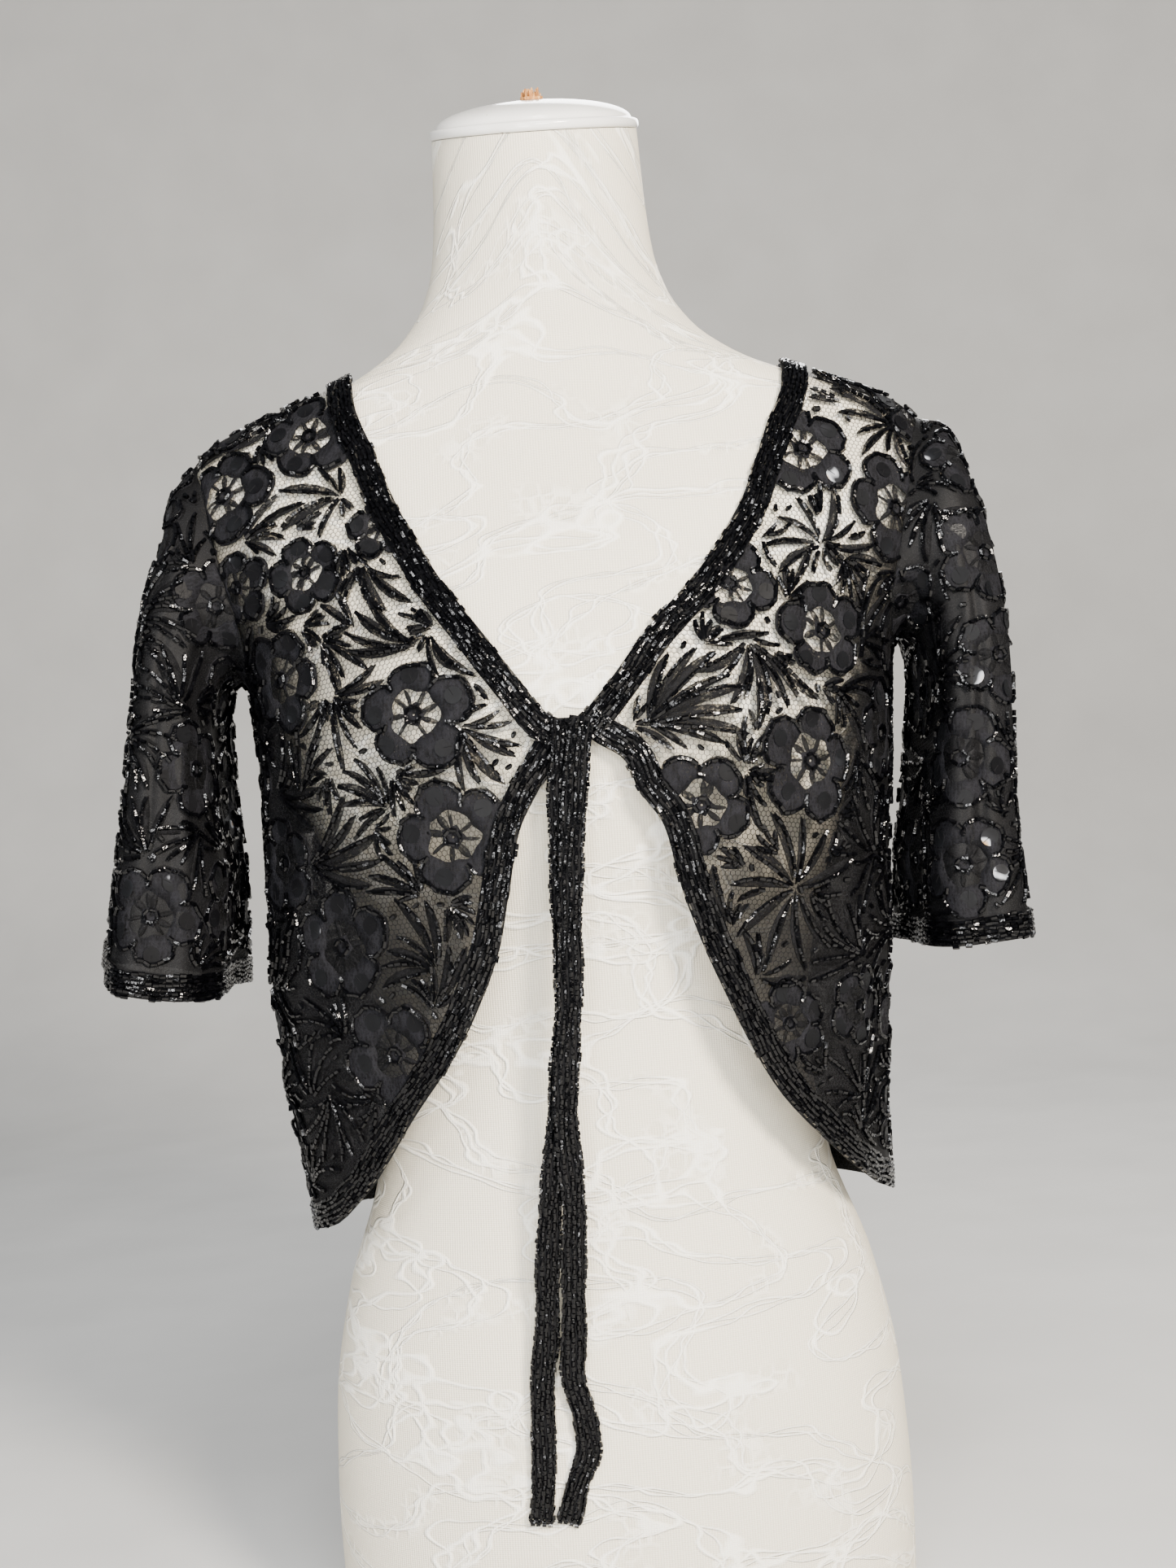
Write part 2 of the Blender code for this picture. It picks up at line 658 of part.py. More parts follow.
def strip_grids(edge, start, end, corner=None):
    """Seat and top points of an edging sewn along an edge of places, its width on the cloth."""
    level, angle = edge[:, 0], edge[:, 1]
    skin = CLOTH.skin(level, angle)
    normal = CLOTH.normal(level, angle)
    ahead = np.gradient(skin, axis=0)
    if corner is not None:
        ahead[corner] = unit(skin[corner + 1] - skin[corner]) + unit(skin[corner] - skin[corner - 1])
    ahead = unit(ahead)
    across = unit(np.cross(normal, ahead))
    seams = [CLOTH.skin(places[[0, -1], 0], places[[0, -1], 1]) for places in (start, end)]
    across *= np.sign((across[0] * (seams[0][1] - seams[0][0])).sum())
    for row, seam in zip((0, -1), seams):
        far = np.linalg.norm(skin - skin[row], axis=1, keepdims=True)
        turned = np.clip(far / EDGING_TURN, 0, 1) ** 0.7
        across = unit(across * turned + unit(seam[1] - seam[0]) * (1 - turned))
    slant = np.linalg.norm(np.cross(ahead, across), axis=1, keepdims=True)
    if corner is not None:
        slant[corner] = np.linalg.norm(np.cross(unit(skin[corner + 1] - skin[corner]), across[corner]))
    width = EDGING_WIDTH / slant
    grids = ([], [])
    for k, height in enumerate(EDGING_PROFILE):
        share = k / (len(EDGING_PROFILE) - 1)
        row_level, row_angle = CLOTH.slide(level, angle, across * width * share)
        for row, places in ((0, start), (-1, end)):
            row_level[row], row_angle[row] = places[k]
        base = CLOTH_GAP + WALL + EDGING_SEAT
        grids[0].append(CLOTH.point(row_level, row_angle, base))
        grids[1].append(CLOTH.point(row_level, row_angle, base + height))
    return [np.stack(grid) for grid in grids]


def build_front_edging(side, material):
    """One strip from the neck point down the neckline, round the closure and to the side seam."""
    neckline = neckline_places(side, 1 - np.linspace(0, 1, EDGING_STATIONS) ** EDGING_CROWD)
    cutaway = cutaway_places(side, np.linspace(0, 1, EDGING_STATIONS))
    edge = np.concatenate([neckline, cutaway[1:]])
    shoulder = along_seam(shoulder_places(side, True, SEAM_SAMPLES))
    seam = along_seam(side_places(side, True))
    seat, top = strip_grids(edge, shoulder, seam, corner=len(neckline) - 1)
    wall(f"edging_front_{SIDE_NAMES[side]}", seat, top, material)


def build_back_edgings(material):
    neck = back_neck_places(back_shares())
    left = along_seam(shoulder_places(LEFT, False, SEAM_SAMPLES))
    right = along_seam(turned_back(shoulder_places(RIGHT, False, SEAM_SAMPLES)))
    seat, top = strip_grids(neck, left, right)
    wall("edging_back_neck", seat, top, material)
    hem = back_hem_places(back_shares())
    left = along_seam(side_places(LEFT, False))
    right = along_seam(turned_back(side_places(RIGHT, False)))
    seat, top = strip_grids(hem, left, right)
    wall("edging_back_hem", seat, top, material)


def build_sleeves(lace, beads):
    for side, name in SIDE_NAMES.items():
        sleeve = Sleeve(side)
        inside, outside = sleeve.grids()
        wall(f"sleeve_{name}", inside, outside, lace, tube=True)
        seat, top = sleeve.cuff_grids()
        wall(f"edging_cuff_{name}", seat, top, beads, tube=True)


def build_tie(side, material):
    """A flat tape with chamfered long edges, through sections along its path."""
    sizes = columns_of([(-row[0], *row[1:]) for row in TIE_PATH], TIE_COLUMNS)
    low = -np.linspace(TIE_PATH[0][0], TIE_PATH[-1][0], TIE_STATIONS)
    name = SIDE_NAMES[side]
    lift = sizes["lift"](low) if side == RIGHT else 0 * low
    x = sizes[f"{name}_x"](low)
    path = np.stack([x, -sizes["reach"](low) - lift, -low], axis=1)
    ahead = unit(np.gradient(path, axis=0))
    thick = unit(np.cross(ahead, (1.0, 0.0, 0.0)))
    broad = unit(np.cross(thick, ahead))
    half_width, half_thick = TIE_WIDTH / 2, TIE_THICK / 2
    section = (
        (-1, 0.0),
        (-TIE_FLAT, -1),
        (TIE_FLAT, -1),
        (1, 0.0),
        (TIE_FLAT, 1),
        (-TIE_FLAT, 1),
    )
    rings = [
        [
            path[i] + broad[i] * half_width * across + thick[i] * half_thick * up
            for across, up in section
        ]
        for i in range(len(path))
    ]
    loft(f"tie_{name}", rings, material)


def build_form(cover):
    turn = np.arange(FORM_AROUND) * 2 * math.pi / FORM_AROUND
    rings = [FORM.skin(float(level), turn) for level in FORM_LEVELS]
    loft("form_torso", rings, cover)


def cap_place():
    """Where the cap's underside lies: in the middle of the neck's top, tilted as it leans."""
    turn = np.arange(FORM_AROUND) * 2 * math.pi / FORM_AROUND
    middle = FORM.skin(NECK_TOP, turn).mean(axis=0)
    tilt = math.atan(NECK_LEAN)
    up = np.array([0.0, -math.sin(tilt), math.cos(tilt)])
    return middle, up, tilt


def build_cap(plastic):
    """A turned cap with a rounded rim and a low dome."""
    rounding = np.linspace(0, math.pi, 5)
    rim_x = CAP_RADIUS - CAP_RIM_ROUND + CAP_RIM_ROUND * np.sin(rounding)
    rim_z = CAP_RIM / 2 + CAP_RIM / 2 * np.cos(rounding)
    inner = rim_x[0]
    slope = np.linspace(0, QUARTER, CAP_RISE_STEPS)[:-1]
    dome = [(inner * math.sin(a), CAP_RIM + CAP_RISE * math.cos(a)) for a in slope]
    profile = dome + list(zip(rim_x, rim_z)) + [(0.0, 0.0)]
    data = bpy.data.meshes.new("form_cap")
    points = [(x * MM, 0, z * MM) for x, z in profile]
    data.from_pydata(points, [(i, i + 1) for i in range(len(points) - 1)], [])
    data.materials.append(plastic)
    cap = bpy.data.objects.new("form_cap", data)
    bpy.data.collections[PART_NAME].objects.link(cap)
    turned = cap.modifiers.new("turned", "SCREW")
    turned.steps = CAP_AROUND
    turned.render_steps = CAP_AROUND
    turned.use_merge_vertices = True
    turned.merge_threshold = 0.00001
    turned.use_normal_calculate = True
    middle, up, tilt = cap_place()
    cap.rotation_euler = (tilt, 0, 0)
    cap.location = (middle + up * REST_GAP) * MM
    return cap


def build_stub(wood):
    """The broken end of a wooden finial, standing on the cap, its top splintered."""
    mesh = bmesh.new()
    bmesh.ops.create_cone(
        mesh,
        cap_ends=True,
        segments=STUB_SIDES,
        radius1=STUB_RADIUS * MM,
        radius2=STUB_RADIUS * MM,
        depth=STUB_HEIGHT * MM,
    )
    tops = [vert for vert in mesh.verts if vert.co.z > 0]
    for i, vert in enumerate(tops):
        vert.co.z -= STUB_JAG[i % len(STUB_JAG)] * MM
    bmesh.ops.triangulate(mesh, faces=mesh.faces)
    middle, up, tilt = cap_place()
    height = REST_GAP + CAP_RIM + CAP_RISE + REST_GAP + STUB_HEIGHT / 2
    stub = finish_mesh("form_stub", mesh, wood)
    stub.matrix_world = Matrix.Translation((middle + up * height) * MM) @ Matrix.Rotation(tilt, 4, "X")
    return stub


def main():
    for thing in list(bpy.data.objects):
        bpy.data.objects.remove(thing)
    collection = bpy.data.collections.new(PART_NAME)
    bpy.context.scene.collection.children.link(collection)
    cover = make_material("form_cover", (0.80, 0.77, 0.71), 0.85)
    plastic = make_material("cap_plastic", (0.85, 0.85, 0.84), 0.18)
    wood = make_material("pale_wood", (0.55, 0.36, 0.22), 0.75)
    lace = make_material("black_lace", (0.012, 0.012, 0.014), 0.6)
    beads = make_material("glass_beads", (0.006, 0.006, 0.007), 0.15)
    build_form(cover)
    build_cap(plastic)
    build_stub(wood)
    for side, name in SIDE_NAMES.items():
        build_panel(f"front_{name}", front_grid(side), lace)
        build_front_edging(side, beads)
        build_tie(side, beads)
    build_panel("back", back_grid(), lace)
    build_back_edgings(beads)
    build_sleeves(lace, beads)


main()
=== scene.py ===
"""Beaded lace shrug on a limbless dress form: the looks of the part, laid out as an add-on.

The front faces -Y and the base stands on z = 0. The tables are in millimetres, as the part's are,
and MM turns them to metres. Left and right are as seen from the front.
"""

import contextlib
import math

import bmesh
import bpy
import numpy as np
from mathutils import Matrix, Vector


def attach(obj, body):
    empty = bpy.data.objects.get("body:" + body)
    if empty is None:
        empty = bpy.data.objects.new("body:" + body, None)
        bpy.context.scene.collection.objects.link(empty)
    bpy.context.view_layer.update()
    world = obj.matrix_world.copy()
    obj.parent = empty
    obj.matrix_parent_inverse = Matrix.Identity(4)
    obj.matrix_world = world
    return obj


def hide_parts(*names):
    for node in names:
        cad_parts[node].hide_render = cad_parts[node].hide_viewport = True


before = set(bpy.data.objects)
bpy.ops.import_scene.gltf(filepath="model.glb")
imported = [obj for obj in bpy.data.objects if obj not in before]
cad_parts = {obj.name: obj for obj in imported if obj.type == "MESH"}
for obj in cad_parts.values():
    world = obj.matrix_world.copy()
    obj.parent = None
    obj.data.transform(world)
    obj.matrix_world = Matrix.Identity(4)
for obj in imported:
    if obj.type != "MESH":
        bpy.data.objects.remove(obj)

bl_info = {
    "name": "Beaded lace shrug on a dress form",
    "version": (1, 0, 0),
    "blender": (4, 5, 0),
    "location": "3D View > Sidebar > Shrug",
    "description": "Makes the lace, beads, ties and dress form of a beaded shrug",
    "category": "Object",
}


MM = 0.001
LEFT, RIGHT = -1, 1
SIDE_NAMES = {LEFT: "left", RIGHT: "right"}
QUARTER = math.pi / 2

# Cloth, edging and seams, as in the part
WALL = 1.6
CLOTH_GAP = 1.0
BACK_EASE = 1.2
SEAM = 0.35
EDGING_WIDTH = 13.0
EDGING_TURN = 22.0
BUST_LEVEL = 452.0
BUST_DEPTH = 9.0
BUST_APART = 68.0
BUST_WIDE = 40.0
BUST_TALL = 52.0
CLOTH_FALL = 230.0
FOLD_START = 440.0
FOLD_DEPTH = 2.6
FOLD_COUNT = 7
FOLD_TURN = 0.6
SECTION_COLUMNS = ("level", "half_width", "front", "back", "square", "droop", "lean", "centre")
FORM_SECTIONS = (
    (0, 144.0, 97, 105, 2.2, 0, 0, 0),
    (60, 145.5, 99, 107, 2.2, 0, 0, 0),
    (120, 143.0, 97, 106, 2.2, 0, 0, 0),
    (175, 133.0, 91, 101, 2.2, 0, 0, 0),
    (230, 115.0, 84, 89, 2.15, 0, 0, 0),
    (290, 108.0, 80, 79, 2.1, 0, 0, 0),
    (345, 116.0, 85, 79, 2.1, 0, 0, 0),
    (400, 133.0, 96, 84, 2.15, 0, 0, 0),
    (440, 146.0, 103, 89, 2.2, 0, 0, 0),
    (470, 152.0, 104, 93, 2.2, 0, 0, 0),
    (500, 165.0, 97, 97, 2.2, 0, 0, 0),
    (530, 182.0, 87, 99, 2.2, 0, 0, 0),
    (556, 188.0, 76, 98, 2.2, 2, 0, 0),
    (578, 187.5, 66, 93, 2.1, 4, 0, 0),
    (598, 184.0, 57, 86, 2.0, 7, 0, 0),
    (612, 174.0, 51, 79, 2.0, 10, 0, 0),
    (624, 156.0, 47, 71, 2.0, 14, 0, 0),
    (634, 135.0, 44, 64, 2.0, 16, 0, 0),
    (643, 113.0, 43, 58, 2.0, 17, 0, 0),
    (651, 94.0, 44, 55, 2.0, 15, 0, 0),
    (661, 76.0, 45, 53, 2.0, 11, 0, 0),
    (674, 63.0, 46, 52, 2.0, 5, 0.02, 0),
    (692, 56.5, 47, 52, 2.0, 1, 0.08, 0),
    (718, 54.0, 48, 51, 2.0, 0, 0.17, 0),
    (754, 52.5, 50, 51, 2.0, 0, 0.275, 0),
)
HANGING_SECTIONS = (
    (200, 143.5, 96, 107, 2.2, 0, 0, -2.5),
    (235, 145.0, 98, 106, 2.2, 0, 0, -3.0),
    (270, 148.0, 100, 105, 2.2, 0, 0, -5.0),
    (330, 153.0, 103, 104, 2.2, 0, 0, -5.0),
    (400, 155.5, 105, 102, 2.2, 0, 0, -1.5),
    (450, 157.5, 106, 100, 2.2, 0, 0, 0),
    (480, 160.5, 103, 99, 2.2, 0, 0, 0),
    (505, 169.0, 96.5, 99.5, 2.2, 0, 0, 0),
)
HUGGING_FROM = 530

# Cut of the shrug, as in the part
HEM_LEVEL = 205.0
UNDERARM_LEVEL = 479.0
TIP_LEVEL = 603.0
NECK_POINT_X = {LEFT: 101.0, RIGHT: 117.0}
CLOSURE_LEVEL = 449.5
CLOSURE_HALF_GAP = 0.25
FRONT_ARMHOLE = 0.50
BACK_ARMHOLE = 0.42
BACK_NECK_LEVEL = 633.0
NECKLINE = (
    (454, 10.9, 5.5),
    (470, 23.0, 20.5),
    (486, 34.1, 33.5),
    (516, 54.3, 62.5),
    (546, 70.4, 84.0),
    (567, 79.9, 94.0),
    (591, 88.2, 104.0),
    (612, 96.0, 113.0),
)
CUTAWAY = (
    (441, 4.0, 8.5),
    (430, 11.0, 23.5),
    (418, 19.0, 27.5),
    (400, 28.5, 38.5),
    (374, 34.5, 43.8),
    (350, 40.0, 50.5),
    (320, 52.6, 61.5),
    (300, 64.0, 69.5),
    (273, 84.0, 83.0),
    (250, 99.5, 100.5),
    (231, 114.0, 117.0),
    (216, 130.0, 131.0),
)
BACK_CROWD = 0.6  # how much closer the back's columns are at its sides
SIDE_ROWS = 43
SHOULDER_ROWS = 25
FRONT_COLUMNS = 40
BACK_COLUMNS = 73

SLEEVE_COLUMNS = ("station", "outer_x", "outer_z", "inner_x", "inner_z", "depth", "middle_y")
SLEEVE_SECTIONS = {
    LEFT: (
        (0, 185, 599, 161, 479, 48, 4),
        (1, 194, 587, 167, 486, 53, 4),
        (2, 201, 559, 175, 482, 58, 3),
        (3, 210, 527, 180, 464, 62, 2),
        (4, 219, 474, 180.5, 431, 66, 1),
        (5, 232, 411, 177.5, 383, 69, 0),
        (6, 243.5, 346, 181, 331, 72, 0),
    ),
    RIGHT: (
        (0, 185, 599, 161, 479, 48, 4),
        (1, 199, 591, 167, 486, 53, 5),
        (2, 209, 562, 174, 482, 58, 6),
        (3, 215.5, 526, 177, 462, 62, 7),
        (4, 219.5, 472, 174, 430, 66, 8),
        (5, 217.5, 404, 167.5, 385, 69, 9),
        (6, 223.5, 334, 162, 330, 72, 10),
    ),
}
SLEEVE_FOLDS = 5
SLEEVE_FOLD_DEPTH = 3.6
SLEEVE_FOLD_TURN = {LEFT: 0.4, RIGHT: 1.5}
SLEEVE_FRONT_DROP = {LEFT: 6.0, RIGHT: 1.0}
ARMHOLE_BLEND = 1.6
ARMHOLE_PLACES = 14

TIE_WIDTH = 11.2
TIE_COLUMNS = ("height", "left_x", "right_x", "reach", "lift")
TIE_PATH = (
    (452, -4.6, 4.4, 114.6, 3.3),
    (440, -5.0, 2.0, 114.2, 3.3),
    (418, -8.0, -1.0, 112.9, 3.3),
    (384, -9.6, -5.4, 110.8, 3.3),
    (350, -10.5, -8.0, 109.2, 3.3),
    (324, -11.0, -9.6, 107.9, 3.3),
    (300, -14.6, -12.6, 106.6, 3.3),
    (265, -19.2, -15.4, 104.6, 3.3),
    (228, -25.4, -14.6, 102.4, 3.3),
    (203, -28.4, -16.4, 100.9, 3.3),
    (167, -31.4, -18.8, 98.9, 2.8),
    (148, -34.6, -20.4, 98.3, 1.8),
    (129, -35.8, -16.6, 98.2, 1.4),
    (114, -36.4, -15.2, 98.2, 1.4),
    (99, -37.4, -21.2, 98.3, 1.3),
    (82, -39.6, -26.6, 98.4, 1.2),
)

CAP_RADIUS = 53.6
CAP_RIM = 5.0
CAP_RISE = 12.0
NECK_TOP = 754.0
NECK_LEAN = 0.275
REST_GAP = 0.3
STUB_RADIUS = 5.8
STUB_HEIGHT = 6.5

# Soft creases, listed one by one. On the body each runs between two places given by level and degrees
# from the front centre; on a sleeve by station and degrees from its top, over the front to the
# underarm. Then its half width and its height, below zero for a trough, in millimetres.
BODY_CREASES = (
    (470, -62, 372, -70, 9, 2.6),
    (492, -57, 400, -40, 8, 1.6),
    (400, -55, 262, -60, 11, 3.2),
    (380, -72, 230, -74, 10, 2.8),
    (345, -40, 282, -46, 8, 1.8),
    (462, 58, 350, 66, 9, 2.4),
    (488, 55, 408, 42, 8, 1.6),
    (412, 52, 270, 57, 11, 3.0),
    (372, 74, 222, 78, 10, 3.2),
    (335, 38, 286, 44, 8, 1.6),
    (590, -66, 540, -58, 8, 1.2),
    (592, 68, 536, 57, 8, 1.3),
    (470, 104, 330, 112, 10, 2.8),
    (440, 124, 240, 130, 13, 3.4),
    (420, 150, 214, 154, 14, 3.0),
    (400, 176, 226, 180, 13, 3.6),
    (430, 201, 220, 206, 14, 3.0),
    (452, 232, 236, 227, 13, 3.4),
    (466, 256, 300, 249, 10, 2.6),
    (560, 122, 486, 112, 9, 1.6),
    (558, 236, 480, 247, 9, 1.6),
    (602, 160, 556, 150, 9, 1.0),
    (602, 204, 560, 213, 9, 1.0),
)
SLEEVE_CREASES = {
    LEFT: (
        (1.2, 52, 6, 44, 9, 3.0),
        (1.8, 88, 6, 80, 8, -2.4),
        (1.5, 112, 6, 118, 9, 3.4),
        (2.6, 66, 5.2, 60, 6, 1.8),
        (0.8, 140, 3.4, 150, 7, 2.0),
        (1.4, 236, 6, 228, 10, 3.2),
        (1.8, 270, 6, 276, 8, -2.4),
        (1.6, 306, 6, 312, 9, 3.0),
    ),
    RIGHT: (
        (1.3, 46, 6, 54, 9, 3.2),
        (1.6, 78, 6, 88, 8, -2.6),
        (1.6, 118, 6, 112, 9, 3.0),
        (3.0, 98, 5.6, 100, 6, 1.8),
        (0.8, 142, 3.2, 148, 7, 2.0),
        (1.2, 232, 6, 240, 10, 3.2),
        (1.9, 268, 6, 262, 8, -2.2),
        (1.5, 304, 6, 298, 9, 3.2),
    ),
}


def smooth_curve(places, values):
    """A smooth curve through the values that never overshoots them, flat past its ends."""
    places = np.asarray(places, float)
    values = np.asarray(values, float)
    step = np.diff(places)
    rise = np.diff(values) / step
    slope = np.zeros_like(values)
    steady = rise[:-1] * rise[1:] > 0
    mean = 2 * rise[:-1] * rise[1:] / np.where(steady, rise[:-1] + rise[1:], 1)
    slope[1:-1] = np.where(steady, mean, 0)
    slope[0] = rise[0]
    slope[-1] = rise[-1]

    def value(place):
        place = np.clip(place, places[0], places[-1])
        low = np.clip(np.searchsorted(places, place, side="right") - 1, 0, len(step) - 1)
        part = (place - places[low]) / step[low]
        rest = 1 - part
        ends = values[low] * (1 + 2 * part) * rest**2 + values[low + 1] * (3 - 2 * part) * part**2
        bend = step[low] * part * rest * (slope[low] * rest - slope[low + 1] * part)
        return ends + bend

    return value


def columns_of(rows, names):
    """Smooth curves through the columns of a table, each by its name."""
    columns = list(zip(*rows))
    return {name: smooth_curve(columns[0], column) for name, column in zip(names, columns)}


def unit(vectors):
    """The directions of vectors."""
    return vectors / np.maximum(np.linalg.norm(vectors, axis=-1, keepdims=True), 1e-9)


def dot(a, b):
    return (a * b).sum(-1)


def flat_ways(angles):
    return np.stack([np.cos(angles), np.sin(angles)], axis=-1)


def lengths_along(points):
    """How far each row of points is from the first, by way of those between."""
    steps = np.linalg.norm(np.diff(points, axis=0), axis=-1)
    return np.concatenate([0 * steps[:1], np.cumsum(steps, axis=0)])


def between(at, places, values):
    """Rows of values at places between those of the known rows."""
    return np.stack([np.interp(at, places, column) for column in values.T], axis=-1)


def in_steps(along, around, move):
    """How many steps along and around make up a move on a surface."""
    aa, ab, bb = dot(along, along), dot(along, around), dot(around, around)
    ma, mb = dot(move, along), dot(move, around)
    spread = np.maximum(aa * bb - ab * ab, 1e-9)
    return (ma * bb - mb * ab) / spread, (mb * aa - ma * ab) / spread


def crease_lines(creases, round_it, step=1.0):
    """Listed creases, with their ends in millimetres."""
    return [
        (math.radians(c[1]) * round_it, c[0] * step, math.radians(c[3]) * round_it, c[2] * step, *c[4:])
        for c in creases
    ]


def creased(across, up, creases):
    """How far soft creases lift the cloth, at places measured in millimetres."""
    lift = np.zeros(np.broadcast(across, up).shape)
    for x0, y0, x1, y1, half, height in creases:
        dx, dy = x1 - x0, y1 - y0
        share = np.clip(((across - x0) * dx + (up - y0) * dy) / (dx * dx + dy * dy), 0, 1)
        away = np.hypot(across - x0 - share * dx, up - y0 - share * dy)
        ends = np.sin(math.pi * (0.12 + 0.76 * share)) ** 0.8
        lift = lift + height * ends * np.exp(-((away / half) ** 2))
    return lift


def outside(angle):
    """How far the cloth's outside is from its figure's skin: farther on the back."""
    return CLOTH_GAP + WALL + BACK_EASE * np.sqrt(np.maximum(-np.cos(angle), 0))


class Surface:
    """What figures and sleeves share: directions that follow from how their skin slopes."""

    def normal(self, a, b):
        along, around = self.slopes(a, b)
        return unit(self.outward * np.cross(around, along))

    def rise(self, a, b):
        return unit(self.upward * self.slopes(a, b)[0])


class Figure(Surface):
    """A skin through level rings, found by its level and its angle from the front centre."""

    outward = upward = 1

    def __init__(self, rows, bust_fall, fold_depth):
        self.sizes = columns_of(rows, SECTION_COLUMNS)
        self.bust_fall = bust_fall
        self.fold_depth = fold_depth

    def skin(self, level, angle):
        level = np.asarray(level, float)
        angle = np.asarray(angle, float)
        size = {name: curve(level) for name, curve in self.sizes.items()}
        sine = np.sin(angle)
        cosine = np.cos(angle)
        power = size["square"]
        reach = (np.abs(sine) ** power + np.abs(cosine) ** power) ** (-1 / power)
        hang = np.clip((FOLD_START - level) / (FOLD_START - HEM_LEVEL), 0, 1) ** 1.3
        fold = self.fold_depth * hang * np.cos(FOLD_COUNT * angle + FOLD_TURN)
        depth = np.where(cosine > 0, size["front"], size["back"]) + fold
        x = size["centre"] + (size["half_width"] + fold) * reach * sine
        y = -depth * reach * cosine
        tall = np.where(level > BUST_LEVEL, BUST_TALL, self.bust_fall)
        across = np.exp(-(((np.abs(x) - BUST_APART) / BUST_WIDE) ** 2))
        upright = np.exp(-(((level - BUST_LEVEL) / tall) ** 2))
        y = y - BUST_DEPTH * across * upright * np.maximum(cosine, 0)
        z = level - size["droop"] * sine**2 + size["lean"] * y
        return np.stack(np.broadcast_arrays(x, y, z), axis=-1)

    def slopes(self, level, angle):
        """How the skin moves for each millimetre of level and for each radian."""
        up, turn = 0.5, 0.004
        along = (self.skin(level + up, angle) - self.skin(level - up, angle)) / (2 * up)
        around = (self.skin(level, angle + turn) - self.skin(level, angle - turn)) / (2 * turn)
        return along, around

    def point(self, level, angle, above):
        """A place above the outside of the cloth, which has soft creases as listed."""
        turned = np.mod(angle + 0.61 * math.pi, 2 * math.pi) - 0.61 * math.pi
        lift = creased(turned * BODY_ROUND, level, self.creases)
        out = outside(angle) + lift + above
        return self.skin(level, angle) + out[..., None] * self.normal(level, angle)

    def locate(self, x, z):
        """Level and angle of the front of the skin at x from the middle and height z."""
        level = np.array(z, float)
        for _ in range(30):
            low = np.zeros_like(level)
            high = np.full_like(level, QUARTER)
            for _ in range(30):
                middle = (low + high) / 2
                short = np.abs(self.skin(level, np.sign(x) * middle)[..., 0]) < np.abs(x)
                low = np.where(short, middle, low)
                high = np.where(short, high, middle)
            angle = np.sign(x) * (low + high) / 2
            level = level + (z - self.skin(level, angle)[..., 2])
        return level, angle


BODY_ROUND = 155.0  # millimetres for each radian round the body, near enough for creases
FORM = Figure(FORM_SECTIONS, BUST_TALL, 0.0)
CLOTH = Figure(
    HANGING_SECTIONS + tuple(row for row in FORM_SECTIONS if row[0] >= HUGGING_FROM),
    CLOTH_FALL,
    FOLD_DEPTH,
)
CLOTH.creases = crease_lines(BODY_CREASES, BODY_ROUND)


def walk(surface, a, b, move, steps=8):
    """Walks straight over a surface from places, by vectors that lie on it at the start."""
    pace = np.linalg.norm(move, axis=-1, keepdims=True) / steps
    head = unit(move)
    for _ in range(steps):
        along, around = surface.slopes(a, b)
        normal = unit(np.cross(around, along))
        head = unit(head - dot(head, normal)[..., None] * normal)
        da, db = in_steps(along, around, head * pace)
        a, b = a + da, b + db
    return a, b


def patch(bottom, top, start, end, across):
    """Fills the places between four edges, each an array of (level, angle)."""
    s = across[None, :, None]
    t = np.linspace(0, 1, len(start))[:, None, None]
    sides = (1 - s) * start[:, None] + s * end[:, None]
    ends = (1 - t) * bottom[None] + t * top[None]
    corners = (1 - s) * (1 - t) * bottom[0] + s * (1 - t) * bottom[-1]
    corners = corners + (1 - s) * t * top[0] + s * t * top[-1]
    return sides + ends - corners


def edge_through(keys, shares):
    """Places along a smooth line through key places (level, angle), at shares of its length."""
    keys = np.asarray(keys, float)
    length = lengths_along(CLOTH.skin(keys[:, 0], keys[:, 1]))
    places = shares * length[-1]
    return np.stack([smooth_curve(length, keys[:, k])(places) for k in (0, 1)], axis=1)


def table_edge(side, table):
    """Places of a side's edge from a table of heights and distances from the middle."""
    column = 1 if side == LEFT else 2
    heights = np.array([row[0] for row in table], float)
    distances = np.array([row[column] for row in table], float)
    level, angle = CLOTH.locate(side * distances, heights)
    return np.stack([level, angle], axis=1)


def shoulder_level(angle, distance):
    """The level at which the shoulder is at a distance from the middle, at an angle."""
    levels = np.linspace(TIP_LEVEL, 655, 800)
    distances = np.abs(CLOTH.skin(levels, np.full_like(levels, angle))[:, 0])
    return float(levels[np.argmin(np.abs(distances - distance))])


def seam_turn(level):
    """The angle that leaves half the seam's gap at the side of the body."""
    around = CLOTH.slopes(level, np.full_like(level, QUARTER))[1]
    return SEAM / 2 / np.linalg.norm(around, axis=-1)


def beside_seam(side, front, level, cut=0.0):
    """Places half the seam's gap before or behind the side of the body."""
    gap = -seam_turn(level) if front else seam_turn(level)
    return np.stack([level, side * (QUARTER + cut + gap)], axis=1)


def closure_angle(side):
    around = CLOTH.slopes(CLOSURE_LEVEL, 0.0)[1]
    return side * CLOSURE_HALF_GAP / np.linalg.norm(around)


def neckline_places(side, shares):
    """Places from the closure to the neck point."""
    keys = [(CLOSURE_LEVEL, closure_angle(side))]
    keys += list(table_edge(side, NECKLINE))
    level = shoulder_level(side * QUARTER, NECK_POINT_X[side])
    end = side * (QUARTER - float(seam_turn(np.array([level]))[0]))
    start = keys[-1][1]
    distance = NECKLINE[-1][1 if side == LEFT else 2]
    for part in (0.25, 0.5, 0.75):
        angle = start + (end - start) * part
        across = distance + (NECK_POINT_X[side] - distance) * part
        keys.append((shoulder_level(angle, across), angle))
    keys.append((level, end))
    return edge_through(keys, shares)


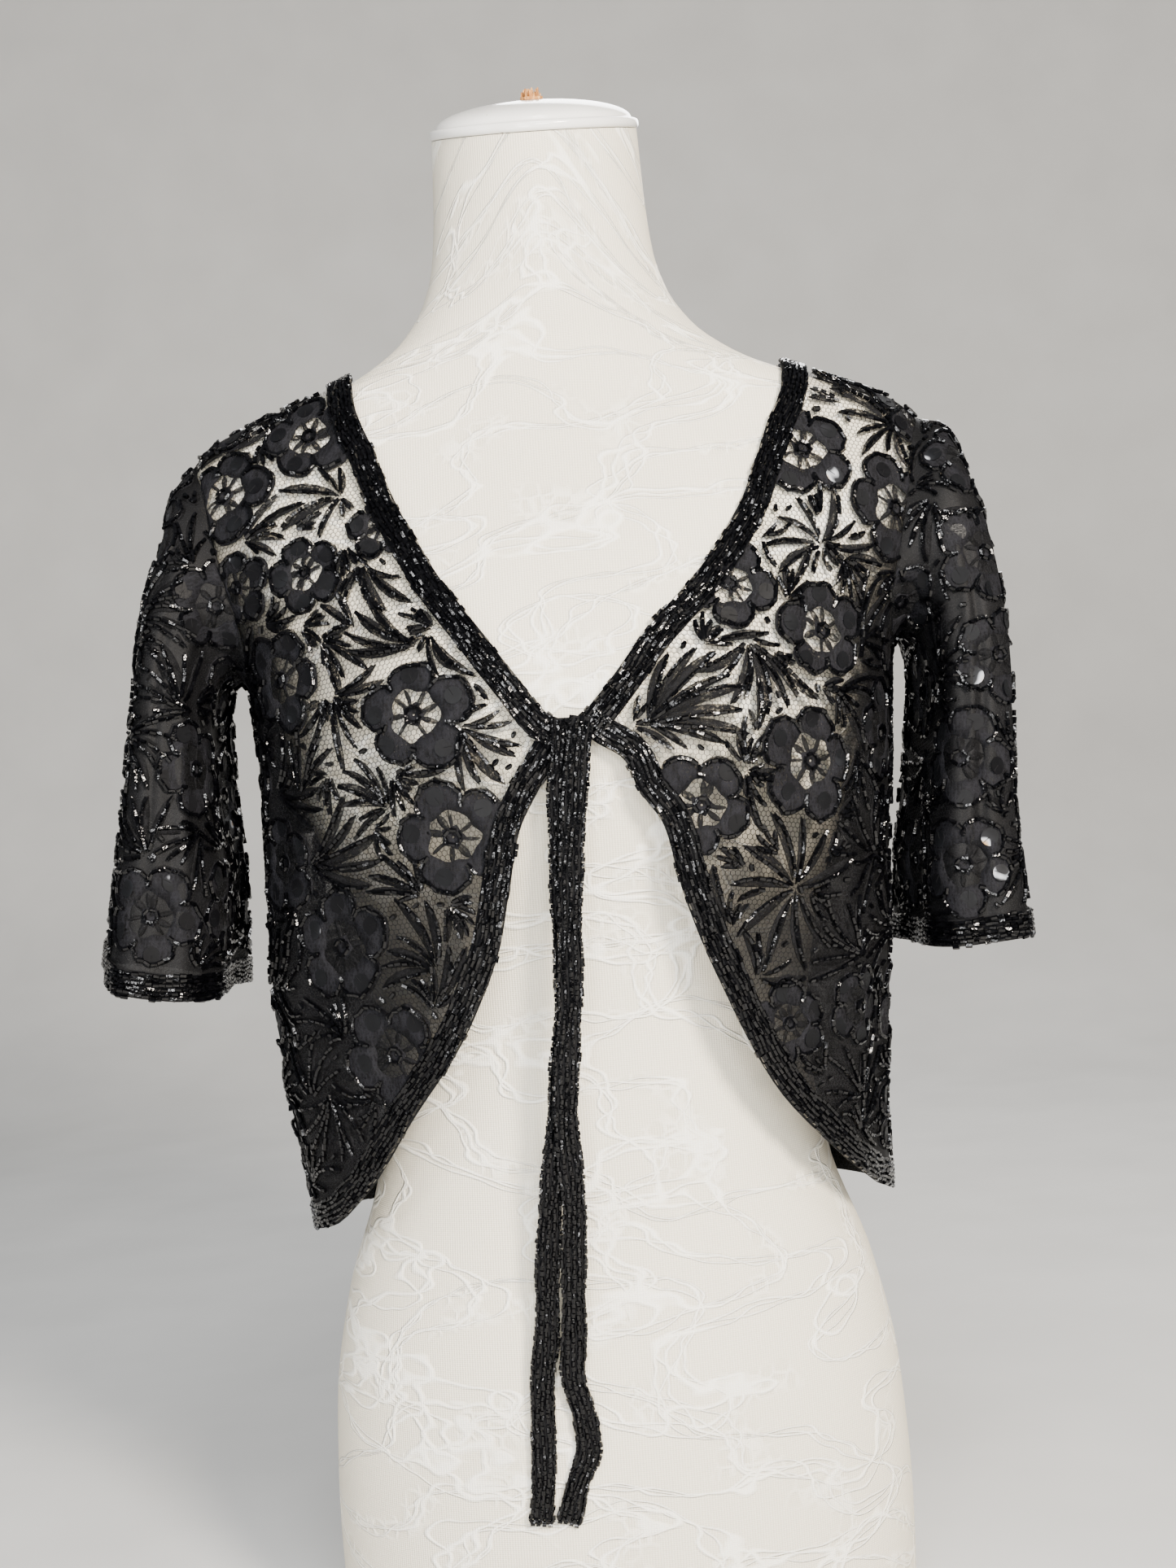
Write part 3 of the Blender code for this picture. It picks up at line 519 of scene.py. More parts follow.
def cutaway_places(side, shares):
    """Places from the closure to the low side corner."""
    keys = [(CLOSURE_LEVEL, closure_angle(side))]
    keys += list(table_edge(side, CUTAWAY))
    keys.append((HEM_LEVEL, side * (QUARTER - float(seam_turn(np.array([HEM_LEVEL]))[0]))))
    return edge_through(keys, shares)


def armhole_places(side, front, count):
    """Places up the armhole, from the underarm to the shoulder tip."""
    turn = np.linspace(math.pi, 0, count)
    middle = (UNDERARM_LEVEL + TIP_LEVEL) / 2
    level = middle + (TIP_LEVEL - UNDERARM_LEVEL) / 2 * np.cos(turn)
    cut = -FRONT_ARMHOLE if front else BACK_ARMHOLE
    return beside_seam(side, front, level, cut * np.sin(turn))


def side_places(side, front, count=SIDE_ROWS):
    """Places up the side of a panel: the side seam, then the armhole."""
    seam = beside_seam(side, front, np.linspace(HEM_LEVEL, UNDERARM_LEVEL, count)[:-1])
    return np.concatenate([seam, armhole_places(side, front, count)])


def shoulder_places(side, front, count):
    """Places along the shoulder seam, from the neck point to the tip."""
    neck = shoulder_level(side * QUARTER, NECK_POINT_X[side])
    return beside_seam(side, front, np.linspace(neck, TIP_LEVEL, count))


def turned_back(places):
    """The right side's places again, with angles that go on round the back from the left side."""
    return places - np.array([0.0, 2 * math.pi])


def back_neck_places(shares):
    """Places round the back neck, from the left neck point to the right one."""
    left = shoulder_places(LEFT, False, 2)[0]
    right = turned_back(shoulder_places(RIGHT, False, 2))[0]
    places = left + (right - left) * shares[:, None]
    dip = np.sin(math.pi * shares) ** 2
    places[:, 0] += (BACK_NECK_LEVEL - places[:, 0]) * dip
    return places


def back_hem_places(shares):
    start = side_places(LEFT, False, 2)[0]
    end = turned_back(side_places(RIGHT, False, 2))[0]
    return start + (end - start) * shares[:, None]


def back_shares(count):
    """Shares of the way across the back, closer together near its sides."""
    share = np.linspace(0, 1, count)
    return share - BACK_CROWD * np.sin(2 * math.pi * share) / (2 * math.pi)


def front_grid(side):
    """Places of a front panel, rows from the cutaway up, columns from the front edge out."""
    end = side_places(side, True)
    up = np.linspace(0, 1, len(end))
    start = neckline_places(side, 1 - (1 - up) ** 1.4)
    across = np.linspace(0, 1, FRONT_COLUMNS)
    bottom = cutaway_places(side, across)
    top = shoulder_places(side, True, FRONT_COLUMNS)
    return patch(bottom, top, start, end, across)


def back_grid():
    """Places of the back panel, rows from the hem up, columns from the left side to the right."""
    sides = [
        np.concatenate([side_places(side, False), shoulder_places(side, False, SHOULDER_ROWS)[-2::-1]])
        for side in (LEFT, RIGHT)
    ]
    across = back_shares(BACK_COLUMNS)
    bottom = back_hem_places(across)
    top = back_neck_places(across)
    return patch(bottom, top, sides[0], turned_back(sides[1]), across)


class Sleeve(Surface):
    """An empty short sleeve, found by its station from the armhole and its turn from the top."""

    upward = -1

    def __init__(self, side):
        self.side = self.outward = side
        self.sizes = columns_of(SLEEVE_SECTIONS[side], SLEEVE_COLUMNS)
        self.hem = SLEEVE_SECTIONS[side][-1][0]
        self.around = 2 * ARMHOLE_PLACES
        front = armhole_places(side, True, ARMHOLE_PLACES + 1)[::-1]
        back = armhole_places(side, False, ARMHOLE_PLACES + 1)
        places = np.concatenate([front, back[1:-1]])
        places[[0, len(front) - 1], 1] = side * QUARTER
        turn = np.arange(self.around) * 2 * math.pi / self.around
        out = outside(places[:, 1])[:, None] * CLOTH.normal(places[:, 0], places[:, 1])
        self.away = CLOTH.skin(places[:, 0], places[:, 1]) + out - self.section(0.0, turn)
        self.creases = crease_lines(SLEEVE_CREASES[side], SLEEVE_ROUND, SLEEVE_STEP)

    def section(self, station, turn):
        size = {name: curve(station) for name, curve in self.sizes.items()}
        cosine = np.cos(turn)
        sine = np.sin(turn)
        along = station / self.hem
        fold = SLEEVE_FOLD_DEPTH * np.maximum(along, 0) ** 1.5
        fold = fold * np.cos(SLEEVE_FOLDS * turn + SLEEVE_FOLD_TURN[self.side])
        half_x = (size["outer_x"] - size["inner_x"]) / 2 + fold
        half_z = (size["outer_z"] - size["inner_z"]) / 2
        x = (size["outer_x"] + size["inner_x"]) / 2 + half_x * cosine
        y = size["middle_y"] - (size["depth"] + fold) * sine
        drop = SLEEVE_FRONT_DROP[self.side] * along**3 * np.abs(sine)
        z = (size["outer_z"] + size["inner_z"]) / 2 + half_z * cosine - drop
        return np.stack(np.broadcast_arrays(self.side * x, y, z), axis=-1)

    def skin(self, station, turn):
        station = np.asarray(station, float)
        turn = np.asarray(turn, float)
        leave = np.clip(1 - station / ARMHOLE_BLEND, 0, 1)
        leave = leave**2 * (3 - 2 * leave)
        place = (turn / (2 * math.pi) * self.around) % self.around
        low = np.floor(place).astype(int)
        part = (place - low)[..., None]
        high = self.away[(low + 1) % self.around]
        away = self.away[low % self.around] * (1 - part) + high * part
        return self.section(station, turn) + away * leave[..., None]

    def slopes(self, station, turn):
        """How the skin moves for each station and for each radian."""
        down, round_it = 0.03, 0.06
        station = np.clip(station, 0, self.hem)
        near = np.maximum(station - down, 0)
        far = np.minimum(station + down, self.hem)
        step = (far - near)[..., None]
        along = (self.skin(far, turn) - self.skin(near, turn)) / step
        around = self.skin(station, turn + round_it) - self.skin(station, turn - round_it)
        return along, around / (2 * round_it)

    def point(self, station, turn, above):
        lift = creased(np.mod(turn, 2 * math.pi) * SLEEVE_ROUND, station * SLEEVE_STEP, self.creases)
        lift = lift * np.clip((station - 0.3) / 1.2, 0, 1)
        return self.skin(station, turn) + (lift + above)[..., None] * self.normal(station, turn)


SLEEVE_ROUND = 60.0  # millimetres for each radian round a sleeve, near enough for creases
SLEEVE_STEP = 34.0  # millimetres for each station
SLEEVES = {side: Sleeve(side) for side in (LEFT, RIGHT)}


# Meshes


def grid_faces(rows, columns, ring=False):
    """Corner numbers of a grid's quads; the columns of a ring close on themselves."""
    j, i = np.meshgrid(np.arange(rows - 1), np.arange(columns - (not ring)), indexing="ij")
    k = (i + 1) % columns
    low, high = j * columns, (j + 1) * columns
    return np.stack([low + i, low + k, high + k, high + i], axis=-1).reshape(-1, 4)


def linked(name, data):
    """An object with some data, in the scene."""
    piece = bpy.data.objects.new(name, data)
    bpy.context.scene.collection.objects.link(piece)
    return piece


@contextlib.contextmanager
def edited(data):
    """A mesh open for edits, which are written back."""
    mesh = bmesh.new()
    mesh.from_mesh(data)
    yield mesh
    mesh.to_mesh(data)
    mesh.free()


def make_piece(name, points, faces, kind, away, flat=None):
    """A piece with a finish, from points in millimetres. Its faces turn to the side that away
    points to, and flat is its UV map in millimetres."""
    points, away = points.reshape(-1, 3), away.reshape(-1, 3)
    a, b, c, d = (points[faces[:, k]] for k in range(4))
    turned = dot(np.cross(c - a, d - b), away[faces].sum(axis=1)) < 0
    faces[turned] = faces[turned][:, ::-1]
    data = bpy.data.meshes.new(name)
    data.from_pydata((points * MM).tolist(), [], faces.tolist())
    if flat is not None:
        layer = data.uv_layers.new(name="flat")
        layer.data.foreach_set("uv", (flat[corner_numbers(data)] * MM).ravel())
    data.materials.append(finish_named(kind))
    data.shade_smooth()
    return linked(name, data)


def corner_numbers(data):
    """The number of the point at each corner of a mesh's faces."""
    numbers = np.zeros(len(data.loops), int)
    data.loops.foreach_get("vertex_index", numbers)
    return numbers


def closed_piece(name, points, faces, kind, smooth=True):
    """A closed piece with a finish, from points in millimetres, its faces turned outwards."""
    data = bpy.data.meshes.new(name)
    data.from_pydata((points.reshape(-1, 3) * MM).tolist(), [], faces)
    with edited(data) as mesh:
        bmesh.ops.recalc_face_normals(mesh, faces=mesh.faces)
    data.materials.append(finish_named(kind))
    if smooth:
        data.shade_smooth()
    return linked(name, data)


def apply_modifiers(piece):
    """Turns a piece's modifiers into plain mesh."""
    graph = bpy.context.evaluated_depsgraph_get()
    data = bpy.data.meshes.new_from_object(piece.evaluated_get(graph), depsgraph=graph)
    piece.modifiers.clear()
    old = piece.data
    piece.data = data
    data.name = piece.name
    bpy.data.meshes.remove(old)


def thicken(piece, thickness):
    """Gives a sheet its thickness, inwards."""
    thick = piece.modifiers.new("thickness", "SOLIDIFY")
    thick.thickness = thickness * MM
    thick.offset = -1
    thick.use_even_offset = False
    apply_modifiers(piece)


def unroll(piece, seam_column=None, columns=None):
    """Gives a sheet its flat pattern as a UV map in metres, its top up, and keeps the cut's size."""
    data = piece.data
    if seam_column is not None:
        for edge in data.edges:
            if all(v % columns == seam_column for v in edge.vertices):
                edge.use_seam = True
    data.uv_layers.new(name="flat")
    bpy.ops.object.select_all(action="DESELECT")
    piece.select_set(True)
    bpy.context.view_layer.objects.active = piece
    bpy.ops.object.mode_set(mode="EDIT")
    bpy.ops.mesh.select_all(action="SELECT")
    bpy.ops.uv.unwrap(method="CONFORMAL", margin=0.0)
    bpy.ops.object.mode_set(mode="OBJECT")
    places = np.zeros(len(data.loops) * 2)
    data.uv_layers[0].data.foreach_get("uv", places)
    places = places.reshape(-1, 2)
    heights = np.array([vert.co.z for vert in data.vertices])[corner_numbers(data)]
    quads = places.reshape(-1, 4, 2)
    p, q = quads[:, 2] - quads[:, 0], quads[:, 3] - quads[:, 1]
    drawn = np.abs(p[:, 0] * q[:, 1] - p[:, 1] * q[:, 0]).sum() / 2
    real = sum(face.area for face in data.polygons)
    middle = places.mean(axis=0)
    up = ((places - middle) * (heights - heights.mean())[:, None]).sum(axis=0)
    up /= np.linalg.norm(up)
    turned = (places - middle) @ np.array([[up[1], up[0]], [-up[0], up[1]]])
    turned *= math.sqrt(real / drawn)
    data.uv_layers[0].data.foreach_set("uv", turned.ravel())


# Materials


def linear(hexed):
    """Linear colour of an sRGB hex value."""
    parts = [int(hexed[k : k + 2], 16) / 255 for k in (1, 3, 5)]
    return [p / 12.92 if p <= 0.04045 else ((p + 0.055) / 1.055) ** 2.4 for p in parts]


def colour(hexed):
    return (*linear(hexed), 1)


def add(tree, kind, inputs=None, **settings):
    """Adds a node with its settings, and sets or links its inputs by name or number."""
    node = tree.nodes.new(kind)
    for key, value in settings.items():
        setattr(node, key, value)
    for key, value in (inputs or {}).items():
        if isinstance(value, bpy.types.NodeSocket):
            tree.links.new(value, node.inputs[key])
        else:
            node.inputs[key].default_value = value
    return node


class Finish:
    """A material in the making, with a short call for each kind of node that draws it."""

    def __init__(self, name, inputs):
        self.material = bpy.data.materials.new(name)
        self.material.use_nodes = True
        self.tree = self.material.node_tree
        self.shader = self.tree.nodes["Principled BSDF"]
        for key, value in inputs.items():
            self.shader.inputs[key].default_value = value

    def add(self, kind, inputs=None, output=0, **settings):
        return add(self.tree, kind, inputs, **settings).outputs[output]

    def place(self):
        return self.add("ShaderNodeTexCoord", output="Object")

    def noise(self, vector, scale, detail, output=0, **more):
        inputs = {"Vector": vector, "Scale": scale, "Detail": detail, **more}
        return self.add("ShaderNodeTexNoise", inputs, output)

    def stretched(self, vector, scale):
        return self.add("ShaderNodeMapping", {"Vector": vector, "Scale": scale})

    def maths(self, operation, *values):
        return self.add("ShaderNodeMath", dict(enumerate(values)), operation=operation)

    def vectors(self, operation, *values, output=0):
        inputs = dict(enumerate(values))
        return self.add("ShaderNodeVectorMath", inputs, output, operation=operation)

    def scaled(self, vector, factor):
        return self.add("ShaderNodeVectorMath", {0: vector, 3: factor}, operation="SCALE")

    def parts(self, vector):
        return add(self.tree, "ShaderNodeSeparateXYZ", {0: vector}).outputs

    def mapped(self, value, low, high, first=1.0, last=0.0):
        """First up to low, last from high on, and even steps between."""
        return self.add("ShaderNodeMapRange", {"Value": value, 1: low, 2: high, 3: first, 4: last})

    def ramp(self, value, *stops):
        """A colour ramp through (place, hex colour) stops."""
        node = add(self.tree, "ShaderNodeValToRGB", {0: value})
        elements = node.color_ramp.elements
        while len(elements) < len(stops):
            elements.new(0.5)
        for element, (place, shade) in zip(elements, stops):
            element.position = place
            element.color = colour(shade)
        return node.outputs[0]

    def done(self, shade, alpha=None, roughness=None, relief=None):
        """Joins what is drawn to the shader; relief is a height, its strength and its depth in mm."""
        joined = {"Base Color": shade, "Alpha": alpha, "Roughness": roughness}
        if relief:
            height, strength, depth = relief
            inputs = {"Strength": strength, "Distance": depth * MM, "Height": height}
            joined["Normal"] = self.add("ShaderNodeBump", inputs)
        for key, value in joined.items():
            if value is not None:
                self.tree.links.new(value, self.shader.inputs[key])
        return self.material


def cell_distance(finish, flat, cell):
    """How far a place is inside its six-sided cell: 0 on the thread's middle, 0.5 in the centre."""
    tall = math.sqrt(3) / 2
    spot = finish.scaled(flat, 1 / cell)
    near = []
    for shift in ((0, 0, 0), (0.5, tall, 0)):
        moved = finish.vectors("ADD", spot, shift)
        near.append(finish.vectors("WRAP", moved, (0.5, tall, 1), (-0.5, -tall, -1)))
    lengths = [finish.vectors("LENGTH", one, output="Value") for one in near]
    inputs = {"Factor": finish.maths("GREATER_THAN", *lengths), 4: near[0], 5: near[1]}
    picked = finish.add("ShaderNodeMix", inputs, 1, data_type="VECTOR")
    parts = finish.parts(finish.vectors("ABSOLUTE", picked))
    slant = finish.maths("MULTIPLY_ADD", parts[1], tall, finish.maths("MULTIPLY", parts[0], 0.5))
    return finish.maths("SUBTRACT", 0.5, finish.maths("MAXIMUM", parts[0], slant))


def net_material():
    """Knotted nylon net: near black threads round open cells. Where shade lies behind the net, its
    cells are filled in as painted shade."""
    finish = Finish("black_nylon_net", {"Roughness": 0.65, "Specular IOR Level": 0.2})
    flat = finish.add("ShaderNodeUVMap")
    wobble = finish.vectors("SUBTRACT", finish.noise(flat, 130.0, 2.0, "Color"), (0.5, 0.5, 0.5))
    spot = finish.vectors("ADD", flat, finish.scaled(wobble, NET_WOBBLE * MM))
    half = NET_THREAD / NET_CELL / 2
    drawn = finish.mapped(cell_distance(finish, spot, NET_CELL * MM), half * 0.8, half * 1.25)
    # painted shade: the cells read as filled in where shade lies behind the net
    painted_shade = finish.add("ShaderNodeAttribute", output="Fac", attribute_name="painted_shade")
    shade = finish.ramp(finish.noise(flat, 60.0, 3.0), (0.35, "#060607"), (0.7, "#101012"))
    return finish.done(shade, alpha=finish.maths("MAXIMUM", drawn, painted_shade), relief=(drawn, 0.4, 0.2))


def motif_material(name, dark, light, lowest, full, specks):
    """Close machine work of twisted threads, laid in fine hatching: matte charcoal that lets a
    little light through where the threads thin out."""
    finish = Finish(name, {"Roughness": 0.8, "Specular IOR Level": 0.15})
    flat = finish.add("ShaderNodeUVMap")
    hatch = finish.noise(finish.stretched(flat, (1.0, 0.16, 1.0)), 900.0, 2.0, Roughness=0.6)
    cloud = finish.noise(flat, 170.0, 2.0)
    shade = finish.maths("MULTIPLY_ADD", cloud, 0.5, finish.maths("MULTIPLY", hatch, 0.55))
    meshed = finish.mapped(cell_distance(finish, flat, NET_CELL * MM), 0.12, 0.4, 1.0, 1.0 - specks)
    alpha = finish.maths("MULTIPLY", finish.mapped(shade, 0.38, full, lowest, 1.0), meshed)
    shown = finish.ramp(shade, (0.38, dark), (0.66, light))
    return finish.done(shown, alpha=alpha, relief=(hatch, 0.5, 0.2))


def glass_material(name, roughness):
    """Opaque jet glass: black, with small hard glints that differ from bead to bead."""
    inputs = {"Roughness": roughness, "IOR": 1.52, "Specular IOR Level": 0.3}
    finish = Finish(name, inputs)
    place = finish.place()
    noise = finish.noise(place, 220.0, 1.0)
    shade = finish.ramp(noise, (0.4, "#020203"), (0.72, "#08080a"))
    worn = finish.mapped(noise, 0.3, 0.8, roughness, roughness * 2.0)
    ripple = finish.noise(place, 800.0, 1.0)
    return finish.done(shade, roughness=worn, relief=(ripple, 1.0, 0.22))


def sequin_material():
    """Thin punched film, dulled by age: dark smoke with fine scratches, and here and there a painted
    glint of silver or gold."""
    finish = Finish("punched_film_sequin", {"Roughness": 0.5, "Specular IOR Level": 0.12})
    place = finish.place()
    smoke = [(0.35, "#08080a"), (0.6, "#101113"), (0.66, "#1c1d20")]
    # Painted glints: the silver and gold stops stand in for light caught by a few sequins.
    painted_glints = [(0.69, "#a3a7ae"), (0.74, "#9a7430")]
    shade = finish.ramp(finish.noise(place, 45.0, 2.0), *smoke, *painted_glints)
    worn = finish.mapped(finish.noise(place, 1400.0, 1.0), 0.3, 0.7, 0.34, 0.66)
    return finish.done(shade, roughness=worn)


def tape_material():
    """Woven cotton tape under the beads: dull black with a fine rib."""
    finish = Finish("black_cotton_tape", {"Roughness": 0.85, "Specular IOR Level": 0.2})
    noise = finish.noise(finish.place(), 900.0, 2.0)
    shade = finish.ramp(noise, (0.35, "#050506"), (0.7, "#101012"))
    return finish.done(shade, relief=(noise, 0.5, 0.3))


def cord_distance(finish, vector):
    """How far a place is from the nearest of some raised cords that wind and cross in bundles, and
    from the middle of a bundle."""
    moved = finish.stretched(vector, (0.6, 1.2, 1.0))
    broad = add(finish.tree, "ShaderNodeSeparateColor", {0: finish.noise(moved, 12.0, 1.0, "Color")})
    loose = finish.vectors("ADD", finish.noise(moved, 38.0, 1.5, "Color"), (-0.5, -0.5, -0.5))
    near, middles = None, []
    for one in list(broad.outputs)[:3]:
        level = finish.maths("SUBTRACT", one, 0.5)
        middles.append(finish.maths("ABSOLUTE", level))
        lines = finish.vectors("MULTIPLY_ADD", loose, (0.17, 0.17, 0.17), level)
        parts = finish.parts(finish.vectors("ABSOLUTE", lines))
        for part in list(parts)[:3]:
            near = part if near is None else finish.maths("MINIMUM", near, part)
    return near, finish.maths("MINIMUM", middles[0], middles[1])


def cover_material():
    """Stretched ivory cover: a fine upright knit under lace, with bundles of raised cords that wind
    over it, closer worked patches, and small openings beside them that look a little darker."""
    finish = Finish("ivory_stretch_lace", {"Roughness": 0.85, "Specular IOR Level": 0.3})
    maths = finish.maths
    flat = finish.add("ShaderNodeUVMap")
    waves = []
    for axis, pitch in (("X", 1.3), ("Y", 0.95)):
        inputs = {"Vector": flat, "Scale": math.pi / 10 / (pitch * MM), "Distortion": 0.5, "Detail": 1.0}
        settings = {"wave_type": "BANDS", "bands_direction": axis}
        waves.append(finish.add("ShaderNodeTexWave", inputs, "Fac", **settings))
    knit = maths("MULTIPLY_ADD", waves[1], 0.4, maths("MULTIPLY", waves[0], 0.6))
    distance, beside = cord_distance(finish, flat)
    cord = finish.mapped(distance, 0.0015, 0.0065)
    inputs = {"Vector": flat, "Scale": 130.0, "Randomness": 0.7}
    cells = finish.add("ShaderNodeTexVoronoi", inputs, "Distance", feature="DISTANCE_TO_EDGE")
    scallop = finish.mapped(cells, 0.04, 0.16)
    worked = finish.mapped(finish.noise(flat, 22.0, 1.0), 0.52, 0.56, 0.0, 1.0)
    worked = maths("MULTIPLY", worked, finish.mapped(beside, 0.02, 0.05))
    cord = maths("MAXIMUM", cord, maths("MULTIPLY", scallop, maths("MULTIPLY", worked, 0.6)))
    slots = maths("MULTIPLY", maths("GREATER_THAN", waves[0], 0.55), worked)
    shade = maths("MULTIPLY_ADD", knit, 0.22, maths("MULTIPLY", cord, 0.45))
    shade = maths("MULTIPLY_ADD", worked, 0.12, shade)
    shade = maths("MULTIPLY_ADD", slots, -0.3, shade)
    stops = [(0.0, "#d3cab5"), (0.2, "#ebe4d2"), (0.45, "#f5f0e1"), (0.75, "#fffdf4")]
    height = maths("MULTIPLY_ADD", cord, 1.0, maths("MULTIPLY", knit, 0.3))
    height = maths("MULTIPLY_ADD", slots, -0.5, height)
    return finish.done(finish.ramp(shade, *stops), relief=(height, 1.0, 0.7))


def cap_material():
    """Moulded white plastic, polished: a clean gloss, with faint sink marks and a few nicks."""
    finish = Finish("white_moulded_plastic", {"Roughness": 0.16, "IOR": 1.5, "Coat Weight": 0.3})
    place = finish.place()
    noise = finish.noise(place, 35.0, 2.0)
    body = finish.ramp(noise, (0.3, "#e8e6e1"), (0.7, "#f3f2ee"))
    nick = finish.mapped(finish.noise(place, 260.0, 1.0), 0.74, 0.78, 0.0, 1.0)
    inputs = {"Factor": nick, 6: body, 7: colour("#a89f92")}
    shade = finish.add("ShaderNodeMix", inputs, 2, data_type="RGBA")
    return finish.done(shade, relief=(noise, 0.05, 0.6))


def wood_material():
    """Raw broken softwood: pale straw to orange tan, with dark grain along the splinters."""
    finish = Finish("broken_pine", {"Roughness": 0.8, "Specular IOR Level": 0.2})
    grain = finish.noise(finish.stretched(finish.place(), (1.0, 1.0, 0.12)), 900.0, 3.0)
    shade = finish.ramp(grain, (0.3, "#6f4526"), (0.5, "#b67e48"), (0.72, "#dcb07a"))
    return finish.done(shade, relief=(grain, 0.6, 0.5))


def floor_material():
    """Seamless studio paper: pale, matte, with a faint fibre."""
    finish = Finish("studio_paper", {"Roughness": 0.9, "Specular IOR Level": 0.2})
    noise = finish.noise(finish.place(), 8.0, 4.0)
    return finish.done(finish.ramp(noise, (0.3, "#c9c9c7"), (0.7, "#d0d0ce")))


# The net's cell, its thread and how far its lines wander, in millimetres
NET_CELL = 2.5
NET_THREAD = 0.17
NET_WOBBLE = 1.2
MATERIALS = {}
MAKERS = {
    "net": net_material,
    "petal": lambda: motif_material("charcoal_machine_work", "#08080a", "#18181c", 0.84, 0.5, 0.18),
    "leaf": lambda: motif_material("black_open_work", "#050506", "#0f0f11", 0.35, 0.56, 0.25),
    "tape": tape_material,
    "bugle": lambda: glass_material("jet_glass_bugle", 0.07),
    "seed": lambda: glass_material("jet_glass_seed", 0.08),
    "sequin": sequin_material,
    "cover": cover_material,
    "cap": cap_material,
    "wood": wood_material,
    "floor": floor_material,
}


def finish_named(kind):
    if kind not in MATERIALS:
        MATERIALS[kind] = MAKERS[kind]()
    return MATERIALS[kind]


def ready(piece, slot, *nodes):
    """Puts a finished piece on the part's one body. The slot is not used."""
    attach(piece, "root")
    if nodes:
        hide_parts(*nodes)
    return piece


# The form

TORSO_AROUND = 144
CAP_AROUND = 128
STUB_AROUND = 20
STUB_FOOT = 1.4  # height of the round that the splinters stand on
SPLINTERS = 26
# The cap's rim band: insets from its radius, and heights
CAP_BAND = [(2.0, 0.0), (0.9, 0.25), (0.25, 0.9), (0.0, 1.8), (0.0, 3.4)]
CAP_BAND += [(0.4, 4.4), (1.4, 5.0), (2.3, 5.1), (2.7, 4.9), (3.1, 5.1)]


def form_torso():
    """The torso and neck: a closed skin, its flat pattern measured round and up from the front."""
    turn = np.linspace(0, 2 * math.pi, TORSO_AROUND + 1) + math.pi
    body, shoulders, neck = np.arange(0, 540, 9), np.arange(540, 690, 3.5), np.linspace(690, NECK_TOP, 9)
    levels = np.concatenate([body, shoulders, neck])
    whole = FORM.skin(levels[:, None], turn[None, :])
    grid, turn = whole[:, :-1], turn[:-1]
    rows, columns = grid.shape[:2]
    across = lengths_along(whole.swapaxes(0, 1)).T
    across -= across[:, [columns // 2]]
    upward = lengths_along(grid)
    away = FORM.normal(levels[:, None] + 0 * turn, turn[None, :] + 0 * levels[:, None])
    piece = make_piece("torso_cover", grid, grid_faces(rows, columns, ring=True), "cover", away)
    with edited(piece.data) as mesh:
        mesh.verts.ensure_lookup_table()
        layer = mesh.loops.layers.uv.new("flat")
        for face in mesh.faces:
            last = max(loop.vert.index % columns for loop in face.loops) == columns - 1
            for loop in face.loops:
                row, column = divmod(loop.vert.index, columns)
                far = columns if last and column == 0 else column
                loop[layer].uv = (across[row, far] * MM, upward[row, column] * MM)
        for row in (0, rows - 1):
            verts = [mesh.verts[row * columns + i] for i in range(columns)]
            mesh.faces.new(verts if row else verts[::-1])
        bmesh.ops.recalc_face_normals(mesh, faces=mesh.faces)
    piece.data.set_sharp_from_angle(angle=math.radians(40))
    return piece


def placed(points, height):
    """Points round an upright axis, moved to the middle of the neck's top and tilted as it leans."""
    tilt = math.atan(NECK_LEAN)
    middle = FORM.skin(NECK_TOP, np.arange(44) * 2 * math.pi / 44).mean(axis=0)
    up = np.array([0.0, -math.sin(tilt), math.cos(tilt)])
    return points @ np.array(Matrix.Rotation(tilt, 3, "X")).T + middle + up * height


def form_cap():
    """The domed cap: flat underside, a rounded rim band, a small step and a low dome. It is turned
    from a profile of (radius, height), its poles closed by single points."""
    profile = [(0, 0.0)] + [(CAP_RADIUS - inset, height) for inset, height in CAP_BAND]
    inner = CAP_RADIUS - CAP_BAND[-1][0] - 0.3
    slope = np.linspace(QUARTER, 0, 17)[:-1]
    profile += [(inner * math.sin(a), CAP_RIM + CAP_RISE * math.cos(a) + 0.1) for a in slope]
    profile.append((0, CAP_RIM + CAP_RISE + 0.1))
    angle = np.arange(CAP_AROUND) * 2 * math.pi / CAP_AROUND
    points, faces, rings = [], [], []
    for radius, z in profile:
        turns = angle if radius else (0.0,)
        rings.append(range(len(points), len(points) + len(turns)))
        points += [(radius * math.cos(t), radius * math.sin(t), z) for t in turns]
    for low, high in zip(rings, rings[1:]):
        for i in range(CAP_AROUND):
            k = (i + 1) % CAP_AROUND
            corners = [low[i % len(low)], low[k % len(low)], high[k % len(high)], high[i % len(high)]]
            faces.append(list(dict.fromkeys(corners)))
    return closed_piece("neck_cap", placed(np.array(points), REST_GAP), faces, "cap")


